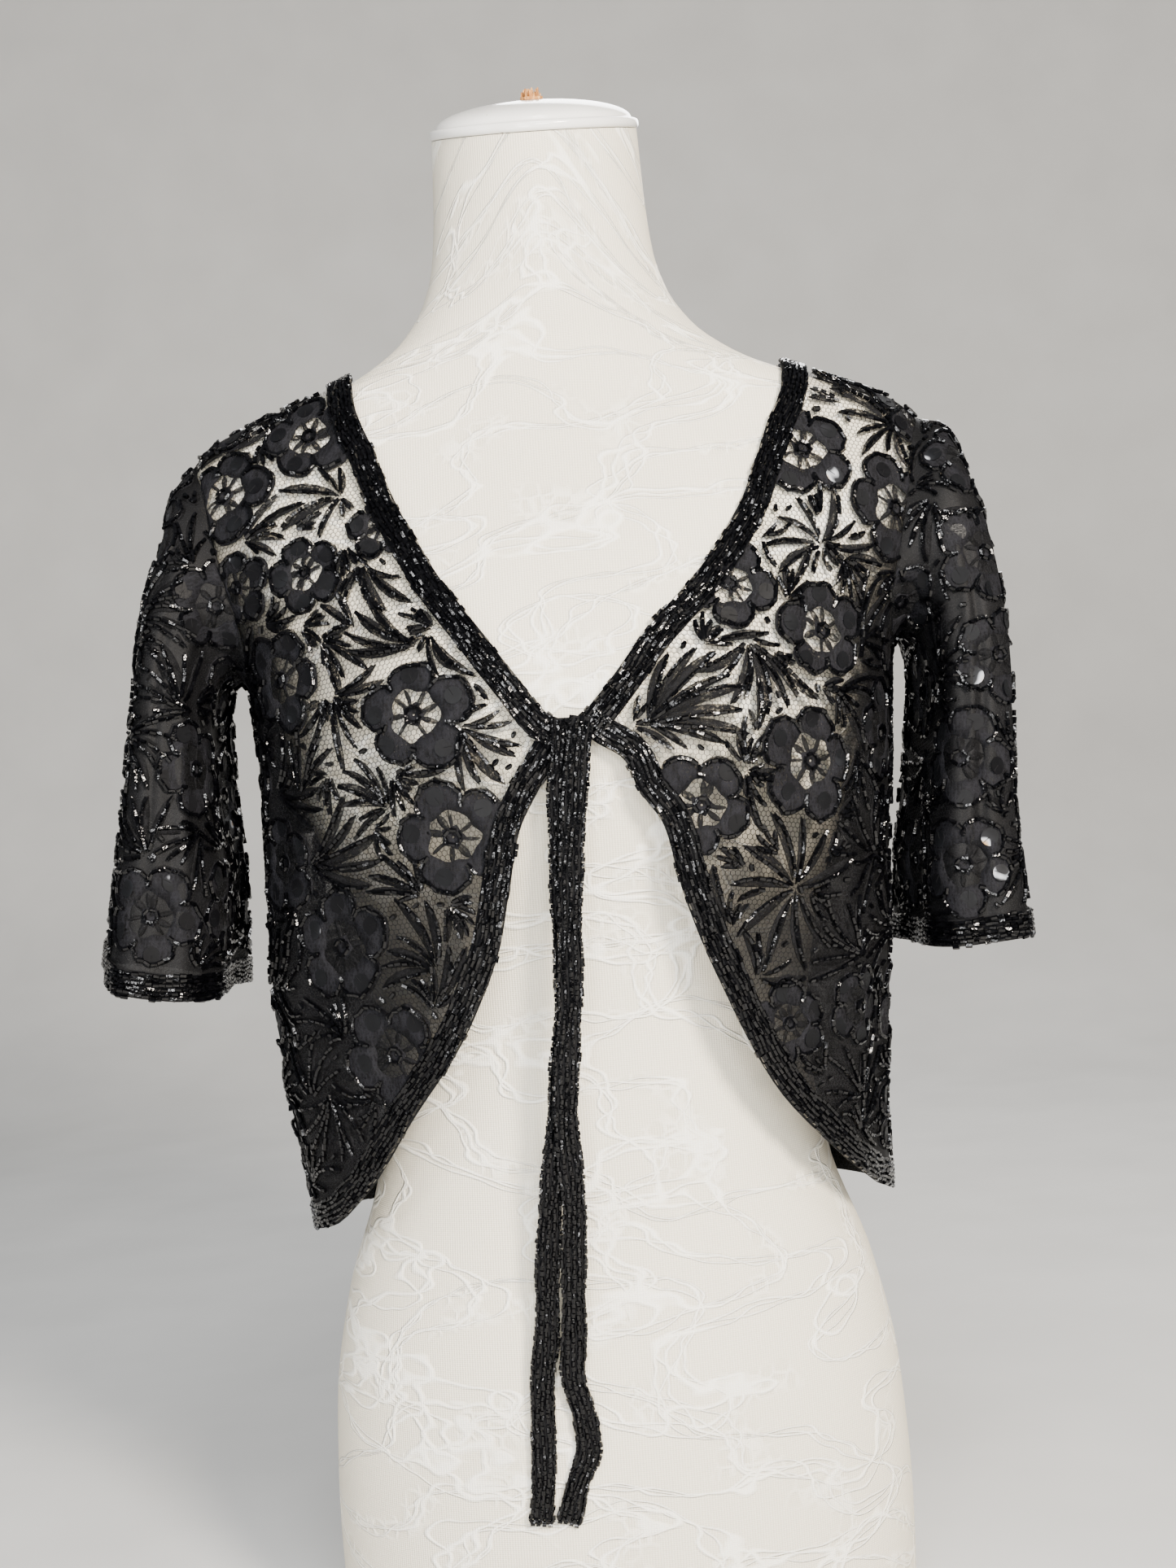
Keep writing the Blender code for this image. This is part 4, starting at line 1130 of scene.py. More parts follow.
def form_stub():
    """The broken end of a wooden finial: thin splinters that stand close together on a low round."""
    rng = np.random.default_rng(11)
    rim = STUB_RADIUS * flat_ways(np.arange(STUB_AROUND) * 2 * math.pi / STUB_AROUND)
    points = [np.insert(rim, 2, 0.0, axis=1), np.insert(rim, 2, STUB_FOOT, axis=1)]
    faces = grid_faces(2, STUB_AROUND, ring=True).tolist()
    faces += [list(range(STUB_AROUND)), list(range(STUB_AROUND, 2 * STUB_AROUND))]
    corners = np.array([(-1, -1), (1, -1), (1, 1), (-1, 1)])
    sides = [[0, 1, 5, 4], [1, 2, 6, 5], [2, 3, 7, 6], [3, 0, 4, 7], [0, 1, 2, 3], [4, 5, 6, 7]]
    for k in range(SPLINTERS):
        place = (STUB_RADIUS - 0.9) * math.sqrt((k + 0.5) / SPLINTERS) * flat_ways(np.array(2.4 * k))
        turn = rng.uniform(0, math.pi)
        across = flat_ways(np.array([turn, turn + QUARTER]))
        across *= rng.uniform((0.5, 0.3), (0.9, 0.5))[:, None]
        foot = place + corners @ across
        head = place + 0.6 * corners @ across + rng.uniform(-0.35, 0.35, 2)
        tall = rng.uniform(0.5, 0.97) * STUB_HEIGHT + rng.uniform(-0.9, 0, 4)
        first = 2 * STUB_AROUND + 8 * k
        faces += [[first + corner for corner in side] for side in sides]
        points += [np.insert(foot, 2, 1.0, axis=1), np.insert(head, 2, tall, axis=1)]
    grid = placed(np.concatenate(points), REST_GAP + CAP_RIM + CAP_RISE + REST_GAP)
    return closed_piece("neck_stub", grid, faces, "wood", smooth=False)


# The net

NET_THICK = 0.4
# Painted shade: on the sleeves the net's cells are mostly filled in.
SLEEVE_PAINTED_SHADE = 0.82  # how far the net's cells read as shut on the sleeves
SLEEVE_AROUND = 96
SLEEVE_ROWS = 46


def finish_net(piece, painted_shade):
    """Keeps how far the net's cells are filled in as painted shade at each point, and makes the net
    thick.
    """
    layer = piece.data.attributes.new("painted_shade", "FLOAT", "POINT")
    layer.data.foreach_set("value", painted_shade.ravel())
    thicken(piece, NET_THICK)
    return piece


def body_shell(name, grid):
    """A panel's net from its grid of places, its cells filled in as painted shade at the sides and
    below.
    """
    level, angle = grid[..., 0], grid[..., 1]
    points = CLOTH.point(level, angle, 0 * level)
    piece = make_piece(name, points, grid_faces(*level.shape), "net", CLOTH.normal(level, angle))
    unroll(piece)
    # Painted shade fills the cells between 46 and 130 degrees from the front, and below level 418
    side = np.degrees(np.abs(np.mod(angle + math.pi, 2 * math.pi) - math.pi))
    beside = np.clip((side - 46) / 26, 0, 1) * np.clip((130 - side) / 22, 0, 1)
    beside *= 0.85 * np.clip((570 - level) / 50, 0, 1)
    below = 0.55 * np.clip((418 - level) / 70, 0, 1)
    return finish_net(piece, 1 - (1 - beside) * (1 - below))


def sleeve_shell(side):
    """A sleeve's net, its flat pattern cut open at the underarm."""
    sleeve = SLEEVES[side]
    turn = (np.arange(SLEEVE_AROUND) * 2 * math.pi / SLEEVE_AROUND)[None, :]
    station = np.linspace(0, 1, SLEEVE_ROWS)[:, None] ** 1.15 * sleeve.hem + 0 * turn
    turn = turn + 0 * station
    points = sleeve.point(station, turn, 0 * station)
    points[0] += SEAM * sleeve.slopes(station[0] + 0.3, turn[0])[0] / 40  # clear of the armhole
    faces = grid_faces(SLEEVE_ROWS, SLEEVE_AROUND, ring=True)
    away = sleeve.normal(station, turn)
    piece = make_piece(f"net_sleeve_{SIDE_NAMES[side]}", points, faces, "net", away)
    unroll(piece, SLEEVE_AROUND // 2, SLEEVE_AROUND)
    return finish_net(piece, np.full(station.size, SLEEVE_PAINTED_SHADE))


# Edgings

TAPE_THICK = 0.5


def along_seam(places):
    """The ends of an edging's rows along a seam, by level and angle, for shares of its width."""
    length = lengths_along(CLOTH.skin(places[:, 0], places[:, 1]))
    return lambda share: between(EDGING_WIDTH * share, length, places)


def strip_rows(edge, start, end, shares, corner=None):
    """Rows of places along an edge, each at a share of the edging's width from it."""
    level, angle = edge[:, 0], edge[:, 1]
    skin = CLOTH.skin(level, angle)
    ahead = np.gradient(skin, axis=0)
    if corner is not None:
        ahead[corner] = unit(skin[corner + 1] - skin[corner]) + unit(skin[corner] - skin[corner - 1])
    ahead = unit(ahead)
    across = unit(np.cross(CLOTH.normal(level, angle), ahead))
    seams = []
    for at in (start, end):
        seam = CLOTH.skin(*np.array([at(0), at(1)]).T)
        seams.append(seam[1] - seam[0])
    across *= np.sign(dot(across[0], seams[0]))
    for row, seam in zip((0, -1), seams):
        far = np.linalg.norm(skin - skin[row], axis=1, keepdims=True)
        turned = np.clip(far / EDGING_TURN, 0, 1) ** 0.7
        across = unit(across * turned + unit(seam) * (1 - turned))
    slant = np.linalg.norm(np.cross(ahead, across), axis=1, keepdims=True)
    if corner is not None:
        slant[corner] = np.linalg.norm(np.cross(unit(skin[corner + 1] - skin[corner]), across[corner]))
    width = EDGING_WIDTH / slant
    rows = []
    for share in shares:
        row = np.stack(walk(CLOTH, level, angle, across * width * share, 5), axis=1)
        row[0], row[-1] = start(share), end(share)
        rows.append(row)
    return rows


def cuff_rows(sleeve, shares, around=120):
    """Rows of places round a sleeve's hem, each at a share of the edging's width from it."""
    turn = np.linspace(0, 2 * math.pi, around + 1)
    near = sleeve.skin(sleeve.hem - 0.1 + 0 * turn, turn)
    far = sleeve.skin(sleeve.hem + 0 * turn, turn)
    reach = EDGING_WIDTH * 0.1 / np.linalg.norm(far - near, axis=-1)
    return [np.stack([sleeve.hem - reach * share, turn], axis=1) for share in shares]


def edge_lines(shares):
    """Every edging's name, with its surface and its rows of places. The shares say how far each row
    is in from the edge, of the edging's width."""
    lines = {}
    for side, name in SIDE_NAMES.items():
        neckline = neckline_places(side, 1 - np.linspace(0, 1, 90) ** 1.6)
        cutaway = cutaway_places(side, np.linspace(0, 1, 90))
        edge = np.concatenate([neckline, cutaway[1:]])
        start = along_seam(shoulder_places(side, True, 80))
        end = along_seam(side_places(side, True))
        lines[f"front_{name}"] = (CLOTH, strip_rows(edge, start, end, shares, len(neckline) - 1))
    for name, edge, seam, count in (
        ("back_neck", back_neck_places(back_shares(90)), shoulder_places, 80),
        ("back_hem", back_hem_places(back_shares(110)), side_places, SIDE_ROWS),
    ):
        left = along_seam(seam(LEFT, False, count))
        right = along_seam(turned_back(seam(RIGHT, False, count)))
        lines[name] = (CLOTH, strip_rows(edge, left, right, shares))
    for side, name in SIDE_NAMES.items():
        lines[f"cuff_{name}"] = (SLEEVES[side], cuff_rows(SLEEVES[side], shares))
    return lines


def edging_tape(name, surface, rows):
    """The tape that an edging's beads are sewn to: a strip on the net, a little fuller inside."""
    a, b = np.moveaxis(np.array(rows), -1, 0)
    above = np.interp(np.linspace(0, 1, len(rows)), (0, 0.15, 0.85, 1), (0.45, 0.75, 0.75, 0.45))
    points = surface.point(a, b, above[:, None] + 0 * a)
    away = surface.normal(a, b)
    ring = surface is not CLOTH
    if ring:
        points, away = points[:, :-1], away[:, :-1]
    faces = grid_faces(*points.shape[:2], ring=ring)
    piece = make_piece(f"tape_edging_{name}", points, faces, "tape", away)
    thicken(piece, TAPE_THICK)
    return piece


# Ties

TAPE_HALF = 0.55  # half a tie tape's thickness, and how far its middle is behind the beads
TAPE_BEHIND = 0.35
# A tie tape's rounded section, as shares of its half width and half thickness
TIE_SECTION = [(-1, 0), (-0.9, -0.8), (-0.4, -1), (0.4, -1), (0.9, -0.8)]
TIE_SECTION += [(1, 0), (0.9, 0.8), (0.4, 1), (-0.4, 1), (-0.9, 0.8)]


def tie_path(side, count):
    """Points down the middle of a tie, with the directions along, across and out of it."""
    sizes = columns_of([(-row[0], *row[1:]) for row in TIE_PATH], TIE_COLUMNS)
    low = -np.linspace(TIE_PATH[0][0], TIE_PATH[-1][0], count)
    lift = sizes["lift"](low) if side == RIGHT else 0 * low
    x = sizes[f"{SIDE_NAMES[side]}_x"](low)
    path = np.stack([x, -sizes["reach"](low) - lift, -low], axis=1)
    ahead = unit(np.gradient(path, axis=0))
    out = unit(np.cross(ahead, (1.0, 0.0, 0.0)))
    out *= np.sign(-out[:, 1:2])
    broad = unit(np.cross(out, ahead))
    return path, ahead, broad, out


def tie_tape(side):
    """A flat tape through rounded sections along the tie's path."""
    path, _, broad, out = tie_path(side, 150)
    across, up = np.array(TIE_SECTION).T
    across, up = across * (TIE_WIDTH / 2 - 0.5), up * TAPE_HALF - TAPE_BEHIND
    grid = path[:, None] + broad[:, None] * across[:, None] + out[:, None] * up[:, None]
    rows, columns = grid.shape[:2]
    faces = [list(face) for face in grid_faces(rows, columns, ring=True)]
    faces += [list(range(columns)), list(range((rows - 1) * columns, rows * columns))]
    return closed_piece(f"tape_tie_{SIDE_NAMES[side]}", grid, faces, "tape"), path


# Lace motifs, drawn flat in millimetres and laid on the net

PETALS = 5
PETAL_POINTS = 12
SPOKES = 8
LEAF_ROWS = 6
NOTCH = 0.6  # how deep the flower's outline dips between petals, as a share of its reach
BEAD_PITCH = 3.3
MOTIF_THICK = 0.26
MOTIF_ABOVE = {"petal": 0.3, "leaf": 0.28}
TAPE_REACH = 13.0  # how far the edgings reach in from the open edges
FIELD_STEP = 2.6  # millimetres between the places where room is known
FULL = -9.0  # the room outside the piece
WAYS = 20  # directions in which a fan looks for room
FAN_WAYS = 7  # how many of them it fills at most
FAN_LENGTH = 34
SHORTEST = 8  # no leaf of a fan is shorter

# Motifs of the fronts, listed one by one: x and z of the middle or the root in millimetres, then for a
# flower its reach and turn, and for a spray its leaves' length, first and last direction in
# degrees and their count.
FRONT_FLOWERS = {
    LEFT: (
        (-163, 574, 27, 10),
        (-119, 599, 24, 50),
        (-122, 530, 27, 30),
        (-157, 528, 22, 5),
        (-136, 481, 26, 60),
        (-72, 458, 28, 14),
        (-58, 401, 28, 40),
        (-114, 352, 29, 20),
        (-92, 301, 27, 55),
        (-154, 433, 26, 5),
        (-84, 549, 18, 25),
    ),
    RIGHT: (
        (119, 575, 28, 20),
        (162, 545, 28, 44),
        (77, 509, 26, 0),
        (119, 486, 28, 33),
        (108, 425, 29, 8),
        (56, 408, 26, 48),
        (90, 303, 27, 30),
        (124, 306, 26, 62),
        (159, 485, 27, 12),
    ),
}
FRONT_SPRAYS = {
    LEFT: (
        (-103, 566, 34, 20, 350, 9),
        (-69, 489, 40, 118, 215, 7),
        (-131, 425, 38, 40, 100, 4),
        (-127, 391, 42, -12, 54, 5),
        (-19, 450, 42, 165, 232, 6),
        (-69, 341, 38, 100, 200, 6),
        (-134, 279, 34, 30, 130, 5),
        (-98, 500, 34, 50, 150, 5),
    ),
    RIGHT: (
        (167, 588, 34, 130, 260, 6),
        (123, 527, 38, 20, 340, 9),
        (34, 447, 44, -32, 68, 9),
        (97, 366, 38, 20, 340, 10),
        (68, 362, 34, -50, 90, 5),
        (138, 378, 36, 60, 250, 7),
        (123, 262, 34, 40, 190, 7),
    ),
}


class Ground:
    """One piece of net to draw on: where it is, where it ends, and the room that is left on it."""

    def __init__(self, name, surface, outline, edges, low, high):
        self.name = name
        self.surface = surface
        self.outline = outline
        self.edges = np.concatenate(edges)
        self.low, self.span = np.array(low), np.array(high) - np.array(low)
        self.around = outline is None
        self.counts = []
        for k in (0, 1):
            line = np.linspace(0, 1, 60)[:, None] * self.span * (np.arange(2) == k)
            line = line + self.low + self.span / 2 * (np.arange(2) != k)
            length = lengths_along(surface.skin(line[:, 0], line[:, 1]))[-1]
            self.counts.append(int(length / FIELD_STEP))
        shares = np.meshgrid(*(np.linspace(0, 1, n) for n in self.counts), indexing="ij")
        self.a, self.b = (self.low[k] + self.span[k] * shares[k] for k in (0, 1))
        self.points = surface.point(self.a, self.b, 0 * self.a)
        inside = self.holds(self.a, self.b)
        self.room = np.where(inside, self.gap(self.points) - TAPE_REACH, FULL)
        slopes = surface.slopes(self.a, self.b)
        self.turns = np.array([in_steps(*slopes, way) for way in self.frame(self.a, self.b)])
        self.patches = {"petal": [], "leaf": []}
        self.beads = []
        self.sequins = []

    def holds(self, a, b):
        """Whether places lie inside the piece's outline."""
        if self.around:
            return (a > 0.1) & (a < self.surface.hem)
        inside = np.zeros(a.shape, bool)
        for (a0, b0), (a1, b1) in zip(self.outline, np.roll(self.outline, -1, axis=0)):
            crosses = (a0 > a) != (a1 > a)
            at = b0 + (a - a0) * (b1 - b0) / (a1 - a0 if a1 != a0 else 1e-9)
            inside ^= crosses & (b < at)
        return inside

    def gap(self, points):
        """Distance to the nearest open edge, in millimetres."""
        flat = points.reshape(-1, 3)
        nearest = [
            np.linalg.norm(part[:, None] - self.edges[None], axis=-1).min(axis=1)
            for part in np.array_split(flat, len(flat) // 3000 + 1)
        ]
        return np.concatenate(nearest).reshape(points.shape[:-1])

    def frame(self, a, b):
        """Rightward and upward directions on the piece, seen from outside."""
        up = self.surface.rise(a, b)
        return unit(np.cross(up, self.surface.normal(a, b))), up

    def lay(self, centre, flat):
        """Places of flat points round a centre, or round a centre each."""
        centre = np.broadcast_to(centre, flat.shape)
        a, b = centre[..., 0].copy(), centre[..., 1].copy()
        right, up = self.frame(a, b)
        return walk(self.surface, a, b, flat[..., :1] * right + flat[..., 1:] * up)

    def laid(self, centre, flat, above, reach):
        """As lay, with the points above the net there, and whether they are on the piece and
        farther than a reach from its open edges."""
        a, b = self.lay(centre, flat)
        points = self.surface.point(a, b, above + 0 * a)
        return a, b, points, self.holds(a, b) & (self.gap(points) > reach)

    def cell(self, a, b):
        """Row and column of the nearest places of the field, and whether they are off it."""
        places = []
        for k, value in enumerate((a, b)):
            share = (value - self.low[k]) / self.span[k]
            places.append(np.rint(share * (self.counts[k] - 1)).astype(int))
        i, j = places
        if self.around:
            j = np.mod(j, self.counts[1] - 1)
        off = (i < 0) | (i >= self.counts[0]) | (j < 0) | (j >= self.counts[1])
        return np.clip(i, 0, self.counts[0] - 1), np.clip(j, 0, self.counts[1] - 1), off

    def near(self, centre, flat):
        """Cells of flat points round a centre, near enough to look for room."""
        i, j, _ = self.cell(centre[0], centre[1])
        a, b = (centre[k] + flat @ self.turns[:, k, i, j] for k in (0, 1))
        return self.cell(a, b)

    def take(self, centre, flat, sizes):
        """Takes the room of circles round flat points."""
        i, j, _ = self.near(centre, flat)
        for middle, size in zip(self.points[i, j], np.broadcast_to(sizes, len(flat))):
            self.room = np.minimum(self.room, np.linalg.norm(self.points - middle, axis=-1) - size)

    def free(self, centre, directions, reach):
        """How far a leaf can grow from a centre in each direction before it meets something."""
        steps = np.arange(4.0, reach + 2, 2.0)
        i, j, off = self.near(centre, flat_ways(directions)[:, None] * steps[:, None])
        blocked = off | (self.room[i, j] < 0.8)
        blocked[:, -1] = True
        return steps[np.argmax(blocked, axis=1)] - 2.0

    def draw_ring(self, kind, centre, flat):
        """Draws a closed band of cloth, given by rows of flat points round a centre."""
        self.patches[kind].append((centre, flat, flat, True))


def flower_outline(rng, reach, turn):
    """Directions, reaches and how near a notch, round a flower of unlike petals."""
    middles = turn + (np.arange(PETALS) + rng.uniform(-0.13, 0.13, PETALS)) * 2 * math.pi / PETALS
    reaches = reach * rng.uniform(0.86, 1.07, PETALS)
    share = np.linspace(-1, 1, PETAL_POINTS + 1)[:-1]
    share = 0.5 * (1 + np.sign(share) * np.abs(share) ** 1.5)
    round_it = np.abs(np.cos(math.pi * share))
    ends = np.append(middles, middles[0] + 2 * math.pi)
    angles, lengths = [], []
    for k in range(PETALS):
        near = reaches[k] + (reaches[(k + 1) % PETALS] - reaches[k]) * share**2 * (3 - 2 * share)
        angles.append(ends[k] + (ends[k + 1] - ends[k]) * share)
        uneven = rng.uniform(0.96, 1.03, PETAL_POINTS)
        lengths.append(near * uneven * (NOTCH + (1 - NOTCH) * round_it**0.4))
    return middles, np.concatenate(angles), np.concatenate(lengths), np.tile(1 - round_it, PETALS)


def on_line(points, start, end):
    """Places and directions of beads along a flat line, from and to shares of its length."""
    length = lengths_along(points)
    count = max(int((end - start) * length[-1] / BEAD_PITCH), 1)
    at = (start + (np.arange(count) + 0.5) / count * (end - start)) * length[-1]
    ahead = between(at + 0.8, length, points) - between(at - 0.8, length, points)
    return between(at, length, points), np.arctan2(ahead[:, 1], ahead[:, 0])


def draw_flower(ground, rng, centre, reach, turn):
    """A five-petalled flower: a ring of close work with a bead outline, an open net ring with some
    thin spokes, a close middle with a few beads on it, and sequins on its petals."""
    middles, angle, length, notch = flower_outline(rng, reach, turn)
    inner = reach * (0.4 + 0.04 * notch + 0.03 * np.cos(3 * angle + turn) + 0.02 * np.cos(7 * angle))
    shares = np.array([0, 0.45, 0.9, 1.0])[:, None]
    radius = inner + (length - inner) * shares
    flat = radius[..., None] * flat_ways(angle)
    ground.draw_ring("petal", centre, flat)
    border = np.stack([length - 0.4, length + 0.9])[..., None] * flat_ways(angle)
    ground.draw_ring("leaf", centre, border)
    outline = np.concatenate([flat[-1], flat[-1, :1]])
    outline *= (1 - 0.9 / np.linalg.norm(outline, axis=1))[:, None]
    ground.beads.append((centre, *on_line(outline, 0, 1)))
    for spoke in turn + (np.arange(SPOKES) + rng.uniform(-0.4, 0.4, SPOKES)) * 2 * math.pi / SPOKES:
        start = 0.1 * reach * flat_ways(spoke)
        draw_leaf(ground, rng, centre, start, spoke, 0.34 * reach, rng.uniform(0.9, 3.2), 0.3, None)
    round_it = np.linspace(0, 2 * math.pi, 11)[:-1]
    rings = np.array([0.02, 0.19])[:, None] * reach * (1 + 0.15 * np.cos(5 * round_it))
    ground.draw_ring("petal", centre, rings[..., None] * flat_ways(round_it))
    seats = rng.uniform(0, 6) + np.arange(6) * 2 * math.pi / 6
    ground.beads.append((centre, 0.12 * reach * flat_ways(seats), seats + QUARTER))
    at = middles + rng.uniform(-0.1, 0.1, PETALS)
    far = reach * rng.uniform(0.66, 0.74, PETALS)
    ground.sequins.append((centre, far[:, None] * flat_ways(at), rng.uniform(0, 6, PETALS)))
    circles = np.concatenate([np.zeros((1, 2)), 0.62 * reach * flat_ways(middles)])
    ground.take(centre, circles, reach * np.array([0.58] + [0.4] * PETALS))


def draw_leaf(ground, rng, centre, root, direction, length, width, bend, beads):
    """A pointed leaf of open work, with a row of beads down its middle or along one side."""
    share = np.linspace(0, 1, LEAF_ROWS)
    heading = direction + bend * (share - 0.3)
    steps = flat_ways(heading)
    steps = (steps[1:] + steps[:-1]) / 2 * length / (LEAF_ROWS - 1)
    line = root + np.concatenate([np.zeros((1, 2)), np.cumsum(steps, axis=0)])
    side = flat_ways(heading + QUARTER)
    half = width / 2 * np.sin(math.pi * share**1.2).clip(0) ** 0.65 + 0.3
    across = np.array([-1.0, 0.0, 1.0])[:, None] * half
    flat = line + side * across[..., None]
    drawn = np.stack(np.broadcast_arrays(across, share * length), axis=-1)
    ground.patches["leaf"].append((centre, flat, drawn + rng.uniform(0, 40, 2), False))
    if beads is not None:
        row = line + side * (half * beads * 0.8)[:, None]
        ground.beads.append((centre, *on_line(row, 0.04, 0.97)))
        ground.take(centre, line[1:], half[1:] + 0.5)


def draw_spray(ground, rng, centre, length, first, last, count):
    """Long leaves that fan out from one place, each as far as its room allows."""
    whole = last - first > 5.2
    directions = first + (last - first) * np.arange(count) / (count if whole else max(count - 1, 1))
    directions = directions + rng.uniform(-0.07, 0.07, count)
    room = ground.free(centre, directions, length * 1.1)
    bow = rng.uniform(0.3, 0.75) * rng.choice([-1, 1])
    drawn = 0
    for k, (direction, free) in enumerate(zip(directions, room)):
        wanted = min(free, length * rng.uniform(0.85, 1.1))
        start = 1.0 + 2.2 * (k % 2) + rng.uniform(0, 0.8)
        long = wanted - start
        if long < SHORTEST:
            continue
        width = np.clip(0.135 * long, 2.3, 4.8) * rng.uniform(0.8, 1.15)
        beads = rng.choice([0.0, 0.0, -1.0, 1.0])
        bend = bow + rng.uniform(-0.15, 0.15)
        root = start * flat_ways(direction)
        draw_leaf(ground, rng, centre, root, direction - 0.2 * bend, long, width, bend, beads)
        drawn += 1
    return drawn


def draw_dot(ground, rng, centre, size):
    """A small oval of close work with a bead on it."""
    round_it = np.linspace(0, 2 * math.pi, 9)[:-1]
    turn = rng.uniform(0, 3)
    rings = np.array([0.05, 1.0])[:, None] * size
    flat = np.stack([rings * 0.6 * np.cos(round_it), rings * np.sin(round_it)], axis=-1)
    flat = flat @ flat_ways(np.array([turn, turn + QUARTER]))
    ground.draw_ring("leaf", centre, flat)
    ground.beads.append((centre, np.zeros((1, 2)), np.array([turn + QUARTER])))
    ground.take(centre, np.zeros((1, 2)), size + 0.8)


def fan_way(count):
    """The direction of a fan's way, or of each of some."""
    return count * 2 * math.pi / WAYS


def roomiest_fan(ground, rng, places, good):
    """The best of some places for a fan: its room in all, its centre and its first way."""
    best = (0.0, None, 0)
    for pick in good[rng.integers(0, len(good), 14)]:
        centre = places[tuple(pick)]
        free = ground.free(centre, fan_way(np.arange(WAYS)), 36)
        useful = np.where(free > 10, free, 0)
        for first in range(WAYS):
            room = np.take(useful, range(first, first + FAN_WAYS), mode="wrap").sum()
            if room > best[0]:
                best = (room, centre, first)
    return best


def fill_ground(ground, rng, flowers, reach, step):
    """Fills a piece: flowers first, then fans of leaves where there is most room, then dots."""
    places = np.stack([ground.a, ground.b], axis=-1)
    for _ in range(flowers):
        size = reach * rng.uniform(0.93, 1.05)
        room = ground.room - size - step
        if room.max() < 0:
            break
        pick = np.unravel_index(np.argmin(np.where(room < 0, 99.0, room)), room.shape)
        draw_flower(ground, rng, places[pick], size, rng.uniform(0, 6))
    for _ in range(150):
        good = np.argwhere(ground.room > 2.2)
        if not len(good):
            break
        room, centre, first = roomiest_fan(ground, rng, places, good)
        if room < 24:
            break
        first, spread = fan_way(first), fan_way(FAN_WAYS - 1)
        if not draw_spray(ground, rng, centre, FAN_LENGTH, first, first + spread, FAN_WAYS):
            ground.take(centre, np.zeros((1, 2)), 3.0)
    for _ in range(60):
        pick = np.unravel_index(np.argmax(ground.room), ground.room.shape)
        if ground.room[pick] < 3.4:
            break
        draw_dot(ground, rng, places[pick], rng.uniform(1.8, 2.5))


def body_ground(name, grid, edges):
    """A body panel to draw on, from its grid of places and its open edges."""
    outline = np.concatenate([grid[0], grid[1:, -1], grid[-1, -2::-1], grid[-2:0:-1, 0]])
    fine = []
    for edge in edges:
        points = CLOTH.point(edge[:, 0], edge[:, 1], 0 * edge[:, 0])
        fine.append(between(np.linspace(0, len(edge) - 1, 260), np.arange(len(edge)), points))
    return Ground(name, CLOTH, outline, fine, outline.min(axis=0), outline.max(axis=0))


def draw_front(side):
    """A front's motifs: those listed, then others in the room left at its hidden side."""
    rng = np.random.default_rng(40 + side)
    grid = front_grid(side)
    ground = body_ground(f"front_{SIDE_NAMES[side]}", grid, (grid[0], grid[:, 0]))
    flowers, sprays = (np.array(table[side], float) for table in (FRONT_FLOWERS, FRONT_SPRAYS))
    centres = np.stack(CLOTH.locate(flowers[:, 0], flowers[:, 1]), axis=1)
    points = CLOTH.point(centres[:, 0], centres[:, 1], 0 * centres[:, 0])
    apart = np.linalg.norm(points[:, None] - points[None], axis=-1) + 999 * np.eye(len(points))
    reach = flowers[:, 2]
    for k, centre in enumerate(centres):
        size = min(reach[k], max(np.min(apart[k] - reach * 0.98), 0.47 * apart[k].min()))
        draw_flower(ground, rng, centre, size, math.radians(flowers[k, 3]))
    centres = np.stack(CLOTH.locate(sprays[:, 0], sprays[:, 1]), axis=1)
    for centre, (_, _, length, first, last, count) in zip(centres, sprays):
        draw_spray(ground, rng, centre, length, math.radians(first), math.radians(last), int(count))
    fill_ground(ground, rng, 6, 26, 0.5)
    return ground


def draw_back():
    """The back's motifs, all by rule."""
    grid = back_grid()
    ground = body_ground("back", grid, (grid[0], grid[-1]))
    fill_ground(ground, np.random.default_rng(52), 60, 27.5, 1.5)
    return ground


def draw_sleeve(side):
    """A sleeve's motifs, all by rule."""
    sleeve = SLEEVES[side]
    turn = np.linspace(0, 2 * math.pi, 260)
    hem = sleeve.point(sleeve.hem + 0 * turn, turn, 0 * turn)
    name = f"sleeve_{SIDE_NAMES[side]}"
    ground = Ground(name, sleeve, None, [hem], (0.25, 0.0), (sleeve.hem, 2 * math.pi))
    fill_ground(ground, np.random.default_rng(60 + side), 30, 26, 1.0)
    return ground


def gathered(rows):
    """All the centres, flat places and third values of rows, with a centre for each place."""
    centres = [np.broadcast_to(centre, flat.shape) for centre, flat, _ in rows]
    return [np.concatenate(part) for part in (centres, *list(zip(*rows))[1:])]


PLURALS = {"petal": "petals", "leaf": "leaves"}


